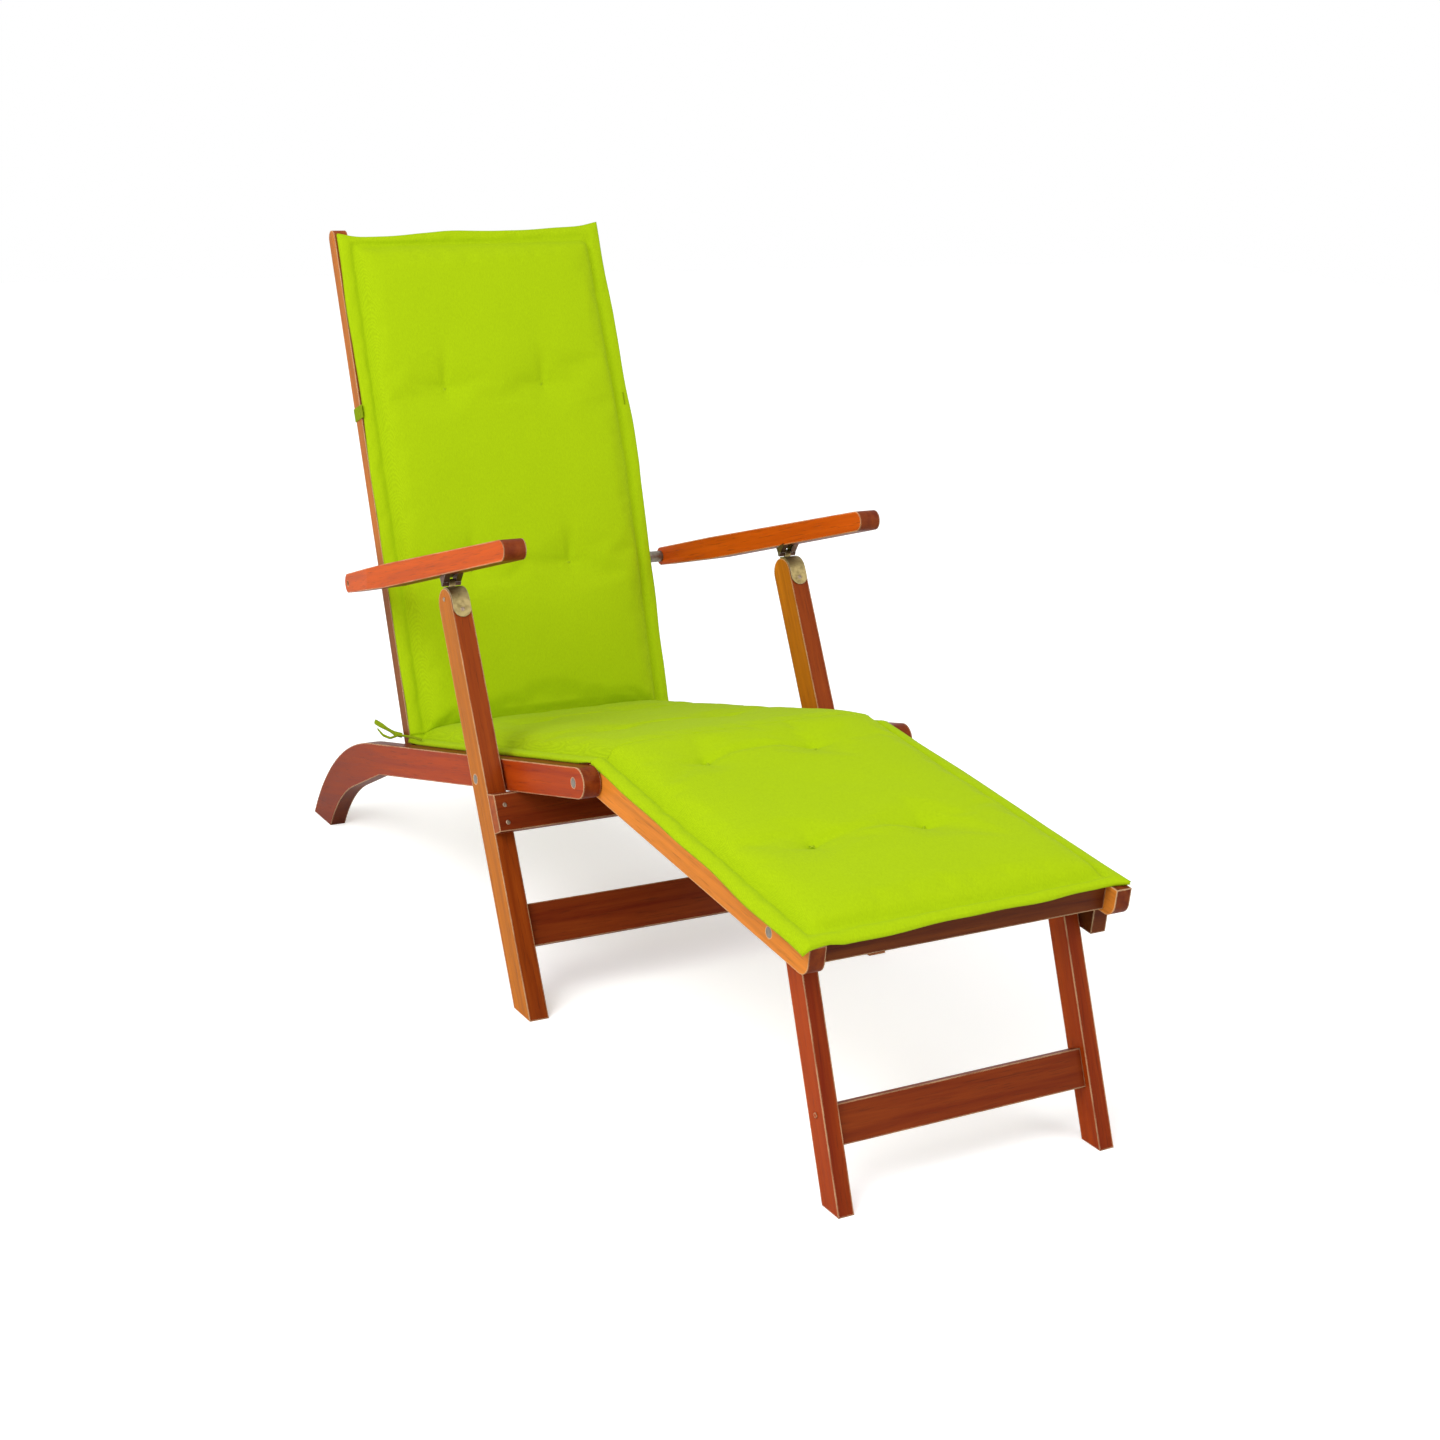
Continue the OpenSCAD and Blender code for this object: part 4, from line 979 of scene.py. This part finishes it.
class CHAISE_OT_stitching(bpy.types.Operator):
    """Sews the seams and the tufts with thread"""

    bl_idname = "chaise.stitching"
    bl_label = "Stitching"

    def execute(self, context):
        s = context.scene.chaise_pads
        along, loose = repeat_group("Repeat on path", True), repeat_group("Repeat on points", False)
        stitch = stitch_stamp(length=s.stitch_pitch * 0.78, radius=0.00045)
        tuft = stitch_stamp(length=0.011, radius=0.0009)
        for body, pad in PADS.items():
            path = path_mesh("seam", pad.seam_path())
            laid(repeated(f"seam_{body}", path, along, stitch, "thread", spread=0.2, seed=s.seed,
                          spacing=s.stitch_pitch), body)
            places = [p for p in pad.tuft_places() for _ in range(2)]
            points = point_mesh("tufts", places, [tuple(pad.line.n)] * len(places))
            laid(repeated(f"tufts_{body}", points, loose, tuft, "tuft_thread", spread=3.1,
                          seed=s.seed + 4), body)
        for stamp in (stitch, tuft):
            bpy.data.objects.remove(stamp)
        return {"FINISHED"}


class CHAISE_OT_screws(bpy.types.Operator):
    """Puts cross-recess heads in place of the plain screws"""

    bl_idname = "chaise.screws"
    bl_label = "Screws"

    def execute(self, context):
        loose = bpy.data.node_groups["Repeat on points"]
        stamp, sunk = screw_stamp(radius=0.0034, height=0.0012), 0.0006
        front = (math.cos(LEG_ANGLE - math.pi / 2), 0, math.sin(LEG_ANGLE - math.pi / 2))
        for node, way in (("leg_screws", None), ("strap_screws", front), ("stretcher_screws", front)):
            places, ways = [], []
            for corners in islands(bpy.data.objects[node]):
                centre = (corners.max(0) + corners.min(0)) / 2
                out = np.array(way or (0, math.copysign(1, centre[1]), 0))
                places.append(centre - out * sunk)
                ways.append(out)
            points = point_mesh(node, places, ways)
            obj = repeated(f"{node}_heads", points, loose, stamp, "screw_steel", spread=1.6, seed=11)
            shade(obj.data, False)
            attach(obj, "front_legs")
            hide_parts(node)
        bpy.data.objects.remove(stamp)
        return {"FINISHED"}


class CHAISE_OT_hinges(bpy.types.Operator):
    """Rounds the brass straps' lower ends and slims the brackets under the arms"""

    bl_idname = "chaise.hinges"
    bl_label = "Strap hinges"

    def execute(self, context):
        leg = Line((0, 0, 0), LEG_ANGLE)
        air, above, across, slimmer = 0.0002, 0.2, 2.0, 0.55
        for side in ("left", "right"):
            strap = self.copy_of(f"strap_{side}", "strap_brass")
            co = corners_of(strap.data)
            right, left = co[:, 1].min(), co[:, 1].max()
            middle, radius = (left + right) / 2, (left - right) / 2 + air
            low = (co @ np.array(leg.d)).min() + radius
            half_turn = np.linspace(0, math.pi, 17)
            outline = [(low - radius * math.sin(a), radius * math.cos(a)) for a in half_turn]
            outline += [(low + above, -radius), (low + above, radius)]
            ring = [leg.at(along, middle + y, up) for up in (-across, across) for along, y in outline]
            n = len(outline)
            faces = [tuple(range(n)), tuple(range(2 * n - 1, n - 1, -1))]
            faces += [(k, n + k, n + (k + 1) % n, (k + 1) % n) for k in range(n)]
            cutter = new_object("strap_end", mesh_from("strap_end", ring, faces, False))
            outward(cutter.data)
            cut = strap.modifiers.new("Round end", "BOOLEAN")
            cut.operation, cut.solver, cut.object = "INTERSECT", "EXACT", cutter
            self.finished(strap, f"strap_{side}", "front_legs", "brass", 0.0004)
            bpy.data.objects.remove(cutter)
            bracket = self.copy_of(f"bracket_{side}", "bracket_steel")
            co = corners_of(bracket.data)
            centre = co[:, 0].mean()
            co[:, 0] = centre + (co[:, 0] - centre) * slimmer
            bracket.data.vertices.foreach_set("co", co.ravel())
            self.finished(bracket, f"bracket_{side}", "arms", "dark_steel", 0.0006)
        return {"FINISHED"}

    @staticmethod
    def copy_of(node, paint):
        mesh = bpy.data.objects[node].data.copy()
        mesh.materials.clear()
        edit(mesh, join_corners)
        return new_object(f"{node}_shaped", mesh, own(paint))

    @staticmethod
    def finished(obj, node, body, slot, width):
        bevel = obj.modifiers.new("Soft edges", "BEVEL")
        bevel.width, bevel.segments, bevel.limit_method = width, 2, "ANGLE"
        baked(obj)
        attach(obj, body)
        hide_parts(node)


class CHAISE_OT_tie(bpy.types.Operator):
    """Makes the ribbon that ties the pad at the right side of the crease"""

    bl_idname = "chaise.tie"
    bl_label = "Tie ribbon"

    def execute(self, context):
        # Half the width of each strand, and the places that it passes
        strands = [
            (0.0046, [(-0.436, -0.2300, 0.2275), (-0.460, -0.2330, 0.2240), (-0.500, -0.2330, 0.2225),
                      (-0.5464, -0.2330, 0.2201)]),
            (0.0024, [(-0.360, -0.2290, 0.2420), (-0.3934, -0.2320, 0.2375), (-0.4419, -0.2340, 0.2270),
                      (-0.474, -0.2350, 0.2130), (-0.5042, -0.2350, 0.2090), (-0.5295, -0.2350, 0.2133)]),
        ]
        steps, thick = 18, Vector((0, 0.0007, 0))
        co, faces = [], []
        for k, (half, strand) in enumerate(strands):
            pts = [Vector(p) for p in strand]
            faces += tube(len(co), steps + 1, 4)
            for i in range(steps + 1):
                t = i / steps * (len(pts) - 1)
                a = min(int(t), len(pts) - 2)
                f = t - a
                f = f * f * (3 - 2 * f) * 0.4 + f * 0.6
                p = pts[a].lerp(pts[a + 1], f)
                fold = Vector((0.2, math.sin(i * 0.5 + k) * 0.3, 1)).normalized() * half
                co += [p - fold - thick, p + fold - thick, p + fold + thick, p - fold + thick]
        obj = new_object("tie_ribbon", mesh_from("tie_ribbon", co, faces), own("elastic_cloth"))
        outward(obj.data)
        obj.modifiers.new("Smooth", "SUBSURF").levels = 1
        baked(obj)
        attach(obj, "seat")
        return {"FINISHED"}


# Where the photograph's camera stands, from the fit of the frame to the photograph
CAMERA_PLACE = (2.64772, -1.46785, 1.25386)


class CHAISE_OT_stage(bpy.types.Operator):
    """Sets the floor, the lights and the photograph's camera"""

    bl_idname = "chaise.stage"
    bl_label = "Stage"

    def execute(self, context):
        s = context.scene.chaise_stage
        scene = context.scene
        half = 9
        corners = [(-half, -half, 0), (half, -half, 0), (half, half, 0), (-half, half, 0)]
        paint = plain_stage("floor_paint", (0.9, 0.9, 0.9, 1), s.floor_lift)
        floor = new_object("floor", mesh_from("floor", corners, [(0, 1, 2, 3)], False), paint)
        world = bpy.data.worlds.new("surroundings")
        scene.world = world
        world.use_nodes = True
        world.node_tree.nodes.clear()
        n = Nodes(world.node_tree)
        soft, plain = (n.out("ShaderNodeBackground", {"Color": (1, 1, 1, 1), "Strength": strength})
                       for strength in (s.sky, 1.0))
        mixed = n.out("ShaderNodeMixShader", {0: camera_sees(n), 1: soft, 2: plain})
        n.add("ShaderNodeOutputWorld", {0: mixed})
        self.light("key", place=(1.2, -2.6, 2.6), target=(0, 0, 0.4), size=2.2, power=s.key)
        self.light("fill", place=(2.8, 1.6, 2.2), target=(0.2, 0, 0.4), size=2.0, power=s.fill)
        right = Vector((math.cos(s.azimuth), math.sin(s.azimuth), 0))
        back = Vector((math.sin(s.azimuth) * math.cos(s.elevation),
                       -math.cos(s.azimuth) * math.cos(s.elevation), math.sin(s.elevation)))
        up = back.cross(right)
        turned = right * math.cos(s.roll) + up * math.sin(s.roll)
        up = up * math.cos(s.roll) - right * math.sin(s.roll)
        data = bpy.data.cameras.new("photo_view")
        data.lens, data.sensor_width = s.lens, 36
        data.clip_end = 60
        camera = new_object("photo_view", data)
        rows = Matrix((turned, up, back)).transposed().to_4x4()
        rows.translation = CAMERA_PLACE
        camera.matrix_world = rows
        scene.camera = camera
        scene.view_settings.view_transform = "Standard"
        return {"FINISHED"}

    @staticmethod
    def light(name, place, target, size, power):
        data = bpy.data.lights.new(name, "AREA")
        data.energy, data.size = power, size
        obj = new_object(name, data)
        obj.location = place
        obj.rotation_euler = (Vector(place) - Vector(target)).to_track_quat("Z", "Y").to_euler()


class CHAISE_PT_panel(bpy.types.Panel):
    """The settings and the steps, in the sidebar"""

    bl_idname = "CHAISE_PT_panel"
    bl_label = "Chaise longue"
    bl_space_type = "VIEW_3D"
    bl_region_type = "UI"
    bl_category = "Chaise"

    def draw(self, context):
        for group in ("chaise_pads", "chaise_finish", "chaise_stage"):
            box = self.layout.box()
            settings = getattr(context.scene, group)
            for name in settings.bl_rna.properties.keys():
                if name not in ("rna_type", "name"):
                    box.prop(settings, name)
        for step in STEPS:
            self.layout.operator(step.bl_idname)


STEPS = (CHAISE_OT_finishes, CHAISE_OT_pads, CHAISE_OT_stitching, CHAISE_OT_screws, CHAISE_OT_hinges,
         CHAISE_OT_tie, CHAISE_OT_stage)
CLASSES = (PadSettings, FinishSettings, StageSettings) + STEPS + (CHAISE_PT_panel,)


def register():
    for c in CLASSES:
        bpy.utils.register_class(c)
    bpy.types.Scene.chaise_pads = PointerProperty(type=PadSettings)
    bpy.types.Scene.chaise_finish = PointerProperty(type=FinishSettings)
    bpy.types.Scene.chaise_stage = PointerProperty(type=StageSettings)


def unregister():
    for name in ("chaise_pads", "chaise_finish", "chaise_stage"):
        delattr(bpy.types.Scene, name)
    for c in reversed(CLASSES):
        bpy.utils.unregister_class(c)


def main():
    register()
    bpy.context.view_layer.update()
    for step in STEPS:
        group, name = step.bl_idname.split(".")
        if getattr(getattr(bpy.ops, group), name)() != {"FINISHED"}:
            raise RuntimeError(step.bl_idname)


if __name__ == "__main__":
    main()
